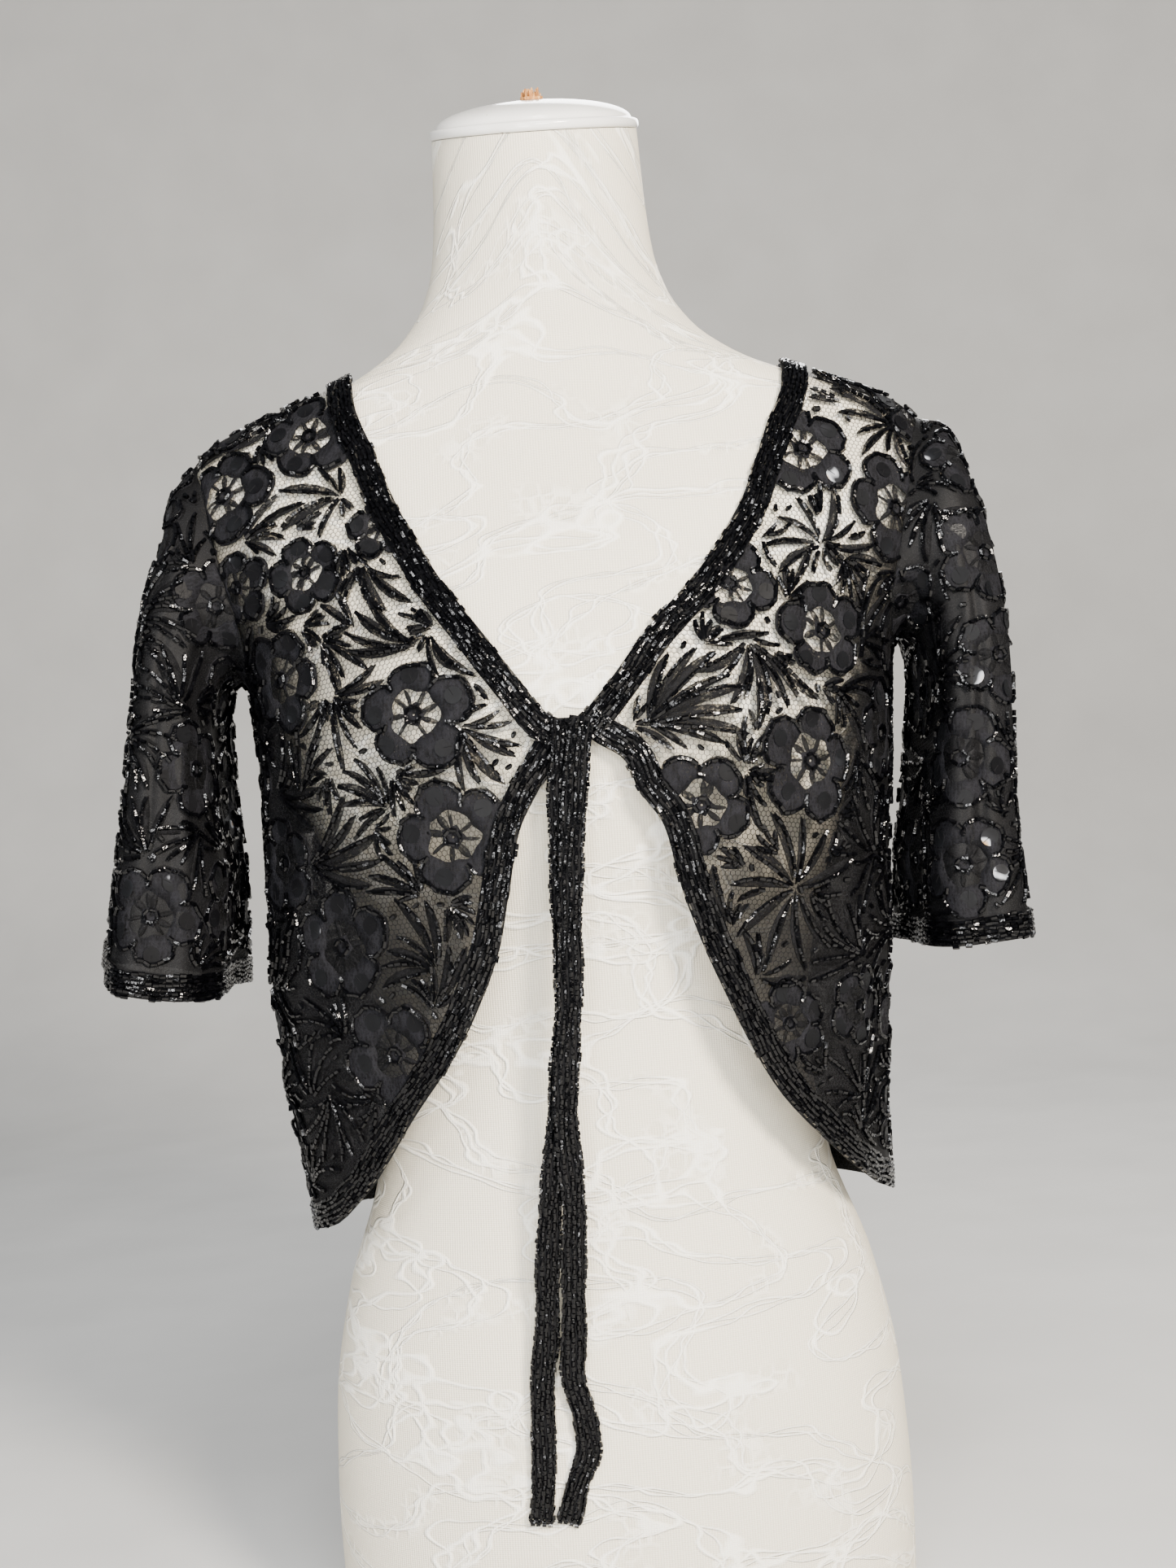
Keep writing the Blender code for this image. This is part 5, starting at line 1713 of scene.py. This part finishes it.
def motif_cloth(ground, kind):
    """One mesh of all a piece's motifs of one kind, cut off where the net ends."""
    rows, faces, count = [], [], 0
    for centre, flat, drawn, ring in ground.patches[kind]:
        faces.append(grid_faces(*flat.shape[:2], ring) + count)
        rows.append((centre, flat.reshape(-1, 2), drawn.reshape(-1, 2)))
        count += len(rows[-1][1])
    faces = np.concatenate(faces)
    centres, flats, drawn = gathered(rows)

    def shrunk(share, which):
        a, b, _, good = ground.laid(centres[which], flats[which] * share[:, None], 0.0, TAPE_REACH - 5)
        return a, b, good

    everything = np.arange(count)
    a, b, inside = shrunk(np.ones(count), everything)
    out = everything[~inside]
    if len(out):
        low, high = np.zeros(len(out)), np.ones(len(out))
        for _ in range(7):
            middle = (low + high) / 2
            good = shrunk(middle, out)[-1]
            low, high = np.where(good, middle, low), np.where(good, high, middle)
        a[out], b[out], _ = shrunk(low, out)
    used, faces = np.unique(faces[inside[faces].any(axis=1)], return_inverse=True)
    a, b = a[used], b[used]
    points = ground.surface.point(a, b, MOTIF_ABOVE[kind] + 0 * a)
    away = ground.surface.normal(a, b)
    name = f"{PLURALS[kind]}_{ground.name}"
    piece = make_piece(name, points, faces.reshape(-1, 4), kind, away, drawn[used])
    with edited(piece.data) as mesh:
        bmesh.ops.dissolve_degenerate(mesh, dist=0.02 * MM, edges=mesh.edges)
    thicken(piece, MOTIF_THICK)
    return piece


# Beads and sequins

SHAPE_SIDES = {"bugle": 5, "seed": 6, "sequin": 16}
SEQUIN_THICK = 0.16
SEED_LENGTH = 2.0
STITCH = (0.16, 4.2, 0.14)  # a sequin's stitch: its thread's radius, length and height
TILT = 0.13  # how far beads tilt out of the cloth at most, in radians


def needled(rng, along, away):
    """Directions of beads as a needle leaves them: tilted a little and rolled by chance."""
    along = unit(along + away * rng.uniform(-TILT, TILT, (len(away), 1)))
    roll = rng.uniform(0, 2 * math.pi, (len(away), 1))
    return along, away * np.cos(roll) + np.cross(along, away) * np.sin(roll)


INPUTS = {
    "Points": "Geometry",
    "Length": "Float",
    "Radius": "Float",
    "Spread": "Float",
    "Seed": "Int",
    "Finish": "Material",
    "Thread": "Material",
}


def with_stitch(tree, sequin):
    """A sequin and the thread from its middle over its rim, marked as its stitch."""
    radius, length, height = (size * MM for size in STITCH)
    inputs = {"Vertices": 4, "Radius": radius, "Depth": length}
    line = add(tree, "GeometryNodeMeshCylinder", inputs).outputs["Mesh"]
    inputs = {"Geometry": line, "Translation": (length / 2, 0, height), "Rotation": (0, QUARTER, 0)}
    laid = add(tree, "GeometryNodeTransform", inputs).outputs[0]
    inputs = {"Geometry": laid, "Name": "stitch", "Value": True}
    settings = {"data_type": "BOOLEAN", "domain": "FACE"}
    laid = add(tree, "GeometryNodeStoreNamedAttribute", inputs, **settings).outputs[0]
    both = add(tree, "GeometryNodeJoinGeometry")
    tree.links.new(sequin, both.inputs[0])
    tree.links.new(laid, both.inputs[0])
    return both.outputs[0]


def bead_tree(shape):
    """Nodes that put one small thing on every point, turned along and away, and make it mesh."""
    tree = bpy.data.node_groups.new(f"{shape}_on_points", "GeometryNodeTree")
    for label, kind in INPUTS.items():
        tree.interface.new_socket(label, in_out="INPUT", socket_type=f"NodeSocket{kind}")
    tree.interface.new_socket("Beads", in_out="OUTPUT", socket_type="NodeSocketGeometry")
    given = add(tree, "NodeGroupInput").outputs
    inputs = {"Vertices": SHAPE_SIDES[shape], "Radius": given["Radius"], "Depth": given["Length"]}
    one = add(tree, "GeometryNodeMeshCylinder", inputs).outputs["Mesh"]
    if shape == "sequin":
        one = with_stitch(tree, one)
    turn = None
    for label, settings in (("along", {"axis": "Z"}), ("away", {"axis": "X", "pivot_axis": "Z"})):
        named = add(tree, "GeometryNodeInputNamedAttribute", {"Name": label}, data_type="FLOAT_VECTOR")
        inputs = {"Vector": named.outputs[0]} | ({"Rotation": turn} if turn else {})
        turn = add(tree, "FunctionNodeAlignRotationToVector", inputs, **settings).outputs[0]
    inputs = {"Seed": given["Seed"]}
    for key, operation in ((2, "SUBTRACT"), (3, "ADD")):
        values = {0: 1.0, 1: given["Spread"]}
        inputs[key] = add(tree, "ShaderNodeMath", values, operation=operation).outputs[0]
    size = add(tree, "FunctionNodeRandomValue", inputs, data_type="FLOAT").outputs[1]
    inputs = {"Points": given["Points"], "Instance": one, "Rotation": turn, "Scale": size}
    many = add(tree, "GeometryNodeInstanceOnPoints", inputs).outputs[0]
    real = add(tree, "GeometryNodeRealizeInstances", {"Geometry": many}).outputs[0]
    inputs = {"Geometry": real, "Material": given["Finish"]}
    done = add(tree, "GeometryNodeSetMaterial", inputs).outputs[0]
    if shape == "sequin":
        stitch = add(tree, "GeometryNodeInputNamedAttribute", {"Name": "stitch"}, data_type="BOOLEAN")
        inputs = {"Geometry": done, "Selection": stitch.outputs[0], "Material": given["Thread"]}
        done = add(tree, "GeometryNodeSetMaterial", inputs).outputs[0]
    add(tree, "NodeGroupOutput", {0: done})
    return tree


TREES = {}


def make_beads(name, shape, places, size, spread, seed):
    """A mesh of many small things of one shape. The places are their points, and their directions
    along and away; the size is a length and a radius. All are in millimetres."""
    if shape not in TREES:
        TREES[shape] = bead_tree(shape)
    tree = TREES[shape]
    points, *directions = places
    data = bpy.data.meshes.new(name)
    data.from_pydata((points * MM).tolist(), [], [])
    for label, values in zip(("along", "away"), directions):
        layer = data.attributes.new(label, "FLOAT_VECTOR", "POINT")
        layer.data.foreach_set("vector", np.ascontiguousarray(values, float).ravel())
    piece = linked(name, data)
    maker = piece.modifiers.new("beads", "NODES")
    maker.node_group = tree
    given = {
        "Length": size[0] * MM,
        "Radius": size[1] * MM,
        "Spread": spread,
        "Seed": seed,
        "Finish": finish_named(shape),
        "Thread": finish_named("tape"),
    }
    for item in tree.interface.items_tree:
        if item.in_out == "INPUT" and item.name in given:
            maker[item.identifier] = given[item.name]
    apply_modifiers(piece)
    return piece


def motif_beads(ground, sizes):
    """The bugle beads and the sequins of a piece's motifs."""
    rng = np.random.default_rng(5)
    centres, spots, turns = gathered(ground.beads)
    turns = turns + rng.uniform(-0.1, 0.1, len(turns))
    half = sizes.bugle_length / 2 * flat_ways(turns)
    above = 0.3 + sizes.bugle_radius
    _, _, start, held = ground.laid(centres, spots - half, above, TAPE_REACH + 0.8)
    a, b, end, good = ground.laid(centres, spots + half, above, TAPE_REACH + 0.8)
    good &= held
    along, away = needled(rng, unit(end - start)[good], ground.surface.normal(a, b)[good])
    places = ((start + end) / 2)[good], along, away
    size = sizes.bugle_length, sizes.bugle_radius
    made = [make_beads(f"bugles_{ground.name}", "bugle", places, size, 0.09, 3)]

    centres, spots, turns = gathered(ground.sequins)
    good = np.ones(len(turns), bool)
    for way in flat_ways(np.arange(6.0)):
        good &= ground.laid(centres, spots + sizes.sequin_radius * way, 0.0, TAPE_REACH + 0.5)[-1]
    a, b, points, _ = ground.laid(centres, spots, 0.55, 0.0)
    right, up = ground.frame(a, b)
    tilt = rng.uniform(-0.09, 0.09, (len(turns), 2))
    along = unit(ground.surface.normal(a, b) + right * tilt[:, :1] + up * tilt[:, 1:])
    away = right * np.cos(turns)[:, None] + up * np.sin(turns)[:, None]
    size = SEQUIN_THICK, sizes.sequin_radius
    places = points[good], along[good], away[good]
    return made + [make_beads(f"sequins_{ground.name}", "sequin", places, size, 0.04, 4)]


EDGING_SWAY = 0.8
EDGING_ROWS = (1.1, 3.2, 5.4, 7.6, 9.8, 12.0)  # millimetres from the edge


def edging_beads(name, surface, rows, sizes, seed):
    """Rows of bugle beads along an edging, the outer row less even than the rest."""
    rng = np.random.default_rng(seed)
    sewn = []
    for k, row in enumerate(rows):
        a, b = row[:, 0], row[:, 1]
        line = surface.point(a, b, 0.72 + sizes.bugle_radius + 0 * a)
        length = lengths_along(line)
        pitch = BEAD_PITCH * rng.uniform(0.98, 1.03)
        at = np.arange(pitch * rng.uniform(0.4, 0.9), length[-1] - pitch / 2, pitch)
        at = at + rng.uniform(-0.2, 0.2, len(at))
        ahead = unit(between(at + 1.2, length, line) - between(at - 1.2, length, line))
        out = unit(between(at, length, surface.normal(a, b)))
        across = np.cross(out, ahead)
        loose = 0.9 if k == 0 else 0.3
        sway = EDGING_SWAY * np.sin(at / 4.3 + seed) * np.sin(at / 9.7)
        aside = sway + rng.uniform(-loose, loose, len(at))
        spot = between(at, length, line) + across * aside[:, None]
        spot = spot + out * rng.uniform(-0.15, 0.15, (len(at), 1))
        ahead = unit(ahead + across * rng.uniform(-0.12, 0.12, (len(at), 1)))
        sewn.append((spot, *needled(rng, ahead, out)))
    places = [np.concatenate(part) for part in zip(*sewn)]
    size = sizes.bugle_length, sizes.bugle_radius
    return make_beads(f"bugles_{name}", "bugle", places, size, 0.08, seed)


TIE_ROWS = (-5.0, -2.5, 0.0, 2.5, 5.0)
SEED_PITCH = 2.3
PICOTS = (-4.0, -1.4, 1.4, 4.0)  # places across a tie's end of its small loops of three beads


def tie_beads(side, sizes):
    """Rows of seed beads down a tie, with knobbly edges."""
    path, ahead, broad, out = tie_path(side, 400)
    rng = np.random.default_rng(70 + side)
    length = lengths_along(path)
    sewn = []
    for k, across in enumerate(TIE_ROWS):
        at = np.arange(0.5 * SEED_PITCH * (1 + k % 2), length[-1] - 0.4, SEED_PITCH)
        at = at + rng.uniform(-0.25, 0.25, len(at))
        edge = abs(across) > 4
        loose = rng.uniform(-0.25, 0.25, len(at)) * (1.5 if edge else 1.1)
        shift = across + 0.35 * np.sin(at / 7.0 + k) + loose
        lift = (0.1 if edge else 0.62) + rng.uniform(-0.12, 0.12, len(at))
        middle, along, over, away = (between(at, length, one) for one in (path, ahead, broad, out))
        spot = middle + over * shift[:, None] + away * lift[:, None]
        sewn.append((spot, along + over * rng.uniform(-0.2, 0.2, (len(at), 1)), away))
    for shift in PICOTS:
        for over, beyond, lean in ((-0.95, 0.9, 0.6), (0.95, 0.9, -0.6), (0.0, 2.5, 1.6)):
            spot = path[-1] + broad[-1] * (shift + over) + ahead[-1] * (beyond + rng.uniform(-0.2, 0.2))
            lying = ahead[-1:] * math.cos(lean) + broad[-1:] * math.sin(lean)
            sewn.append((spot[None], lying, out[-1:]))
    points, along, away = (np.concatenate(part) for part in zip(*sewn))
    places = points, *needled(rng, unit(along), away)
    name = f"seeds_tie_{SIDE_NAMES[side]}"
    return make_beads(name, "seed", places, (SEED_LENGTH, sizes.seed_radius), 0.09, 7 + side)


# Camera, lights and floor

CAMERA_PLACE = (5.0, -1050.0, 421.0)
CAMERA_ROLL = 3.9  # degrees; the picture was taken with the form's top leaning to its left
CAMERA_LENS = 47.08
CAMERA_SENSOR = 36.0


def make_camera():
    data = bpy.data.cameras.new("camera")
    data.lens = CAMERA_LENS
    data.sensor_width = CAMERA_SENSOR
    data.clip_start = 0.01
    camera = linked("camera", data)
    roll = math.radians(CAMERA_ROLL)
    right = Vector((math.cos(roll), 0, -math.sin(roll)))
    up = Vector((math.sin(roll), 0, math.cos(roll)))
    back = Vector((0, -1, 0))
    turn = Matrix((right, up, back)).transposed().to_4x4()
    camera.matrix_world = Matrix.Translation(Vector(CAMERA_PLACE) * MM) @ turn
    bpy.context.scene.camera = camera


# Round lights: place in metres, diameter, watts and colour. The key is warm and soft, the fill cool
# and weak, the back light lifts the paper, and the sparks are for glints on the beads.
LIGHTS = {
    "key": ((0.95, -1.85, 1.3), 0.5, 127, "#fff4e6"),
    "fill": ((-1.3, -1.9, 0.9), 1.4, 9, "#eef2ff"),
    "back": ((0.4, 1.5, 1.6), 1.0, 25, "#ffffff"),
    "spark_high": ((0.3, -1.9, 0.85), 0.5, 20, "#ffffff"),
    "spark_low": ((-0.35, -1.9, 0.25), 0.5, 16, "#ffffff"),
    "spark_left": ((-0.4, -1.95, 1.1), 0.5, 14, "#ffffff"),
    "spark_top": ((0.15, -1.2, 1.95), 0.5, 17, "#ffffff"),
    "spark_side": ((-1.5, -1.0, 0.7), 0.4, 6, "#ffffff"),
}
LIT_PLACE = (0, 0, 0.42)
ROOM_STRENGTH = 0.2


def make_lights():
    """Soft round lights, all turned to the middle of the shrug."""
    for name, (place, size, watts, tint) in LIGHTS.items():
        data = bpy.data.lights.new(name, "AREA")
        data.shape = "DISK"
        data.size = size
        data.energy = watts
        data.color = linear(tint)
        light = linked(name, data)
        light.location = place
        light.rotation_euler = (Vector(LIT_PLACE) - Vector(place)).to_track_quat("-Z", "Y").to_euler()
        light.visible_glossy = name != "fill"  # which lifts the shadows and leaves the beads black


# The studio paper, in metres: where it ends in front, where its sweep starts and how round it is
PAPER_FRONT = -2.2
PAPER_SWEEP = 1.6
PAPER_ROUND = 0.9
PAPER_HALF_WIDTH = 3
PAPER_DROP = 0.0004  # so that it clears the part's base


def make_floor():
    """A sheet of studio paper that runs level under the part and sweeps up far behind it."""
    profile = [(PAPER_FRONT, 0.0)] + [(y, 0.0) for y in np.linspace(-1.8, PAPER_SWEEP, 9)]
    for t in np.linspace(0, QUARTER, 15)[1:]:
        out, down = PAPER_ROUND * math.sin(t), PAPER_ROUND * math.cos(t)
        profile.append((PAPER_SWEEP + out, PAPER_ROUND - down))
    profile += [(PAPER_SWEEP + PAPER_ROUND, z) for z in (1.6, 2.4, 3.2)]
    xs = np.linspace(-PAPER_HALF_WIDTH, PAPER_HALF_WIDTH, 13)
    points = [(x, y, z - PAPER_DROP) for y, z in profile for x in xs]
    faces = grid_faces(len(profile), len(xs))
    data = bpy.data.meshes.new("studio_floor")
    data.from_pydata(points, [], faces.tolist())
    data.materials.append(finish_named("floor"))
    data.shade_smooth()
    linked("studio_floor", data)


def make_world():
    """Even room light, a little cool."""
    world = bpy.data.worlds.new("soft_room")
    bpy.context.scene.world = world
    world.use_nodes = True
    background = world.node_tree.nodes["Background"]
    background.inputs["Color"].default_value = colour("#e6eaf0")
    background.inputs["Strength"].default_value = ROOM_STRENGTH


# Operators


def declare_sheet(name, sewn):
    """Adds the tapes and beads of the edgings of a piece of net to what is sewn on it."""
    edgings = ("back_neck", "back_hem") if name == "back" else (name.replace("sleeve", "cuff"),)
    for edging in edgings:
        sewn += [bpy.data.objects[f"{kind}_edging_{edging}"] for kind in ("tape", "bugles")]


def size_setting(name, default, low, high):
    """A size that the panel shows."""
    words = f"{name} in millimetres"
    return bpy.props.FloatProperty(name=name, description=words, default=default, min=low, max=high)


class ShrugSizes(bpy.types.PropertyGroup):
    """Sizes of the beads and the sequins, in millimetres"""

    bugle_length: size_setting("Length of a bugle bead", 3.0, 1.0, 8.0)
    bugle_radius: size_setting("Radius of a bugle bead", 1.02, 0.3, 2.0)
    seed_radius: size_setting("Radius of a seed bead", 1.02, 0.3, 2.0)
    sequin_radius: size_setting("Radius of a sequin", 4.3, 1.0, 8.0)


class SHRUG_OT_camera(bpy.types.Operator):
    """Make the camera, at the height and lean of the picture"""

    bl_idname = "shrug.camera"
    bl_label = "Camera"

    def execute(self, context):
        make_camera()
        return {"FINISHED"}


class SHRUG_OT_ties(bpy.types.Operator):
    """Make the two beaded ties"""

    bl_idname = "shrug.ties"
    bl_label = "Ties"

    def execute(self, context):
        for side, name in SIDE_NAMES.items():
            tape, path = tie_tape(side)
            ready(tape, "glass_beads", f"tie_{name}")
            beads = ready(tie_beads(side, context.scene.shrug_sizes), "glass_beads")
        return {"FINISHED"}


class SHRUG_OT_form(bpy.types.Operator):
    """Make the dress form, its cap and the broken stub of wood"""

    bl_idname = "shrug.form"
    bl_label = "Dress form"

    def execute(self, context):
        ready(form_torso(), "form_cover", "form_torso")
        ready(form_cap(), "cap_plastic", "form_cap")
        ready(form_stub(), "pale_wood", "form_stub")
        return {"FINISHED"}


class SHRUG_OT_net(bpy.types.Operator):
    """Make the net of the fronts, the back and the sleeves"""

    bl_idname = "shrug.net"
    bl_label = "Net"

    def execute(self, context):
        for side, name in SIDE_NAMES.items():
            ready(body_shell(f"net_front_{name}", front_grid(side)), "black_lace", f"front_{name}")
        ready(body_shell("net_back", back_grid()), "black_lace", "back")
        for side, name in SIDE_NAMES.items():
            ready(sleeve_shell(side), "black_lace", f"sleeve_{name}")
        return {"FINISHED"}


class SHRUG_OT_edgings(bpy.types.Operator):
    """Make the beaded edgings of the neck, the fronts, the hem and the sleeves"""

    bl_idname = "shrug.edgings"
    bl_label = "Edgings"

    def execute(self, context):
        sizes = context.scene.shrug_sizes
        for name, (surface, rows) in edge_lines(np.linspace(0, 1, 7)).items():
            ready(edging_tape(name, surface, rows), "glass_beads", f"edging_{name}")
        lines = edge_lines(np.array(EDGING_ROWS) / EDGING_WIDTH)
        for seed, (name, (surface, rows)) in enumerate(lines.items()):
            ready(edging_beads(f"edging_{name}", surface, rows, sizes, seed + 20), "glass_beads")
        return {"FINISHED"}


class SHRUG_OT_motifs(bpy.types.Operator):
    """Make the lace's flowers and leaves, with their beads and sequins"""

    bl_idname = "shrug.motifs"
    bl_label = "Motifs"

    def execute(self, context):
        grounds = [draw_front(side) for side in (LEFT, RIGHT)] + [draw_back()]
        for ground in grounds + [draw_sleeve(side) for side in (LEFT, RIGHT)]:
            sewn = [ready(motif_cloth(ground, kind), "black_lace") for kind in ("petal", "leaf")]
            for piece in motif_beads(ground, context.scene.shrug_sizes):
                sewn.append(ready(piece, "glass_beads"))
            declare_sheet(ground.name, sewn)
        return {"FINISHED"}


class SHRUG_OT_stage(bpy.types.Operator):
    """Make the studio: paper, soft lights and room light"""

    bl_idname = "shrug.stage"
    bl_label = "Studio"

    def execute(self, context):
        make_floor()
        make_world()
        make_lights()
        return {"FINISHED"}


class SHRUG_PT_panel(bpy.types.Panel):
    """Lists the steps that make the shrug and its form"""

    bl_idname = "SHRUG_PT_panel"
    bl_label = "Beaded shrug"
    bl_space_type = "VIEW_3D"
    bl_region_type = "UI"
    bl_category = "Shrug"

    def draw(self, context):
        for name in ("bugle_length", "bugle_radius", "seed_radius", "sequin_radius"):
            self.layout.prop(context.scene.shrug_sizes, name)
        for step in STEPS:
            self.layout.operator(step.bl_idname)


STEPS = (
    SHRUG_OT_camera,
    SHRUG_OT_ties,
    SHRUG_OT_form,
    SHRUG_OT_net,
    SHRUG_OT_edgings,
    SHRUG_OT_motifs,
    SHRUG_OT_stage,
)


def register():
    for one in (ShrugSizes, *STEPS, SHRUG_PT_panel):
        bpy.utils.register_class(one)
    bpy.types.Scene.shrug_sizes = bpy.props.PointerProperty(type=ShrugSizes)


def unregister():
    del bpy.types.Scene.shrug_sizes
    for one in (SHRUG_PT_panel, *reversed(STEPS), ShrugSizes):
        bpy.utils.unregister_class(one)


def main():
    register()
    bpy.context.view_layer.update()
    bpy.ops.shrug.camera()
    bpy.ops.shrug.ties()
    bpy.ops.shrug.form()
    bpy.ops.shrug.net()
    bpy.ops.shrug.edgings()
    bpy.ops.shrug.motifs()
    bpy.ops.shrug.stage()


if __name__ == "__main__":
    main()
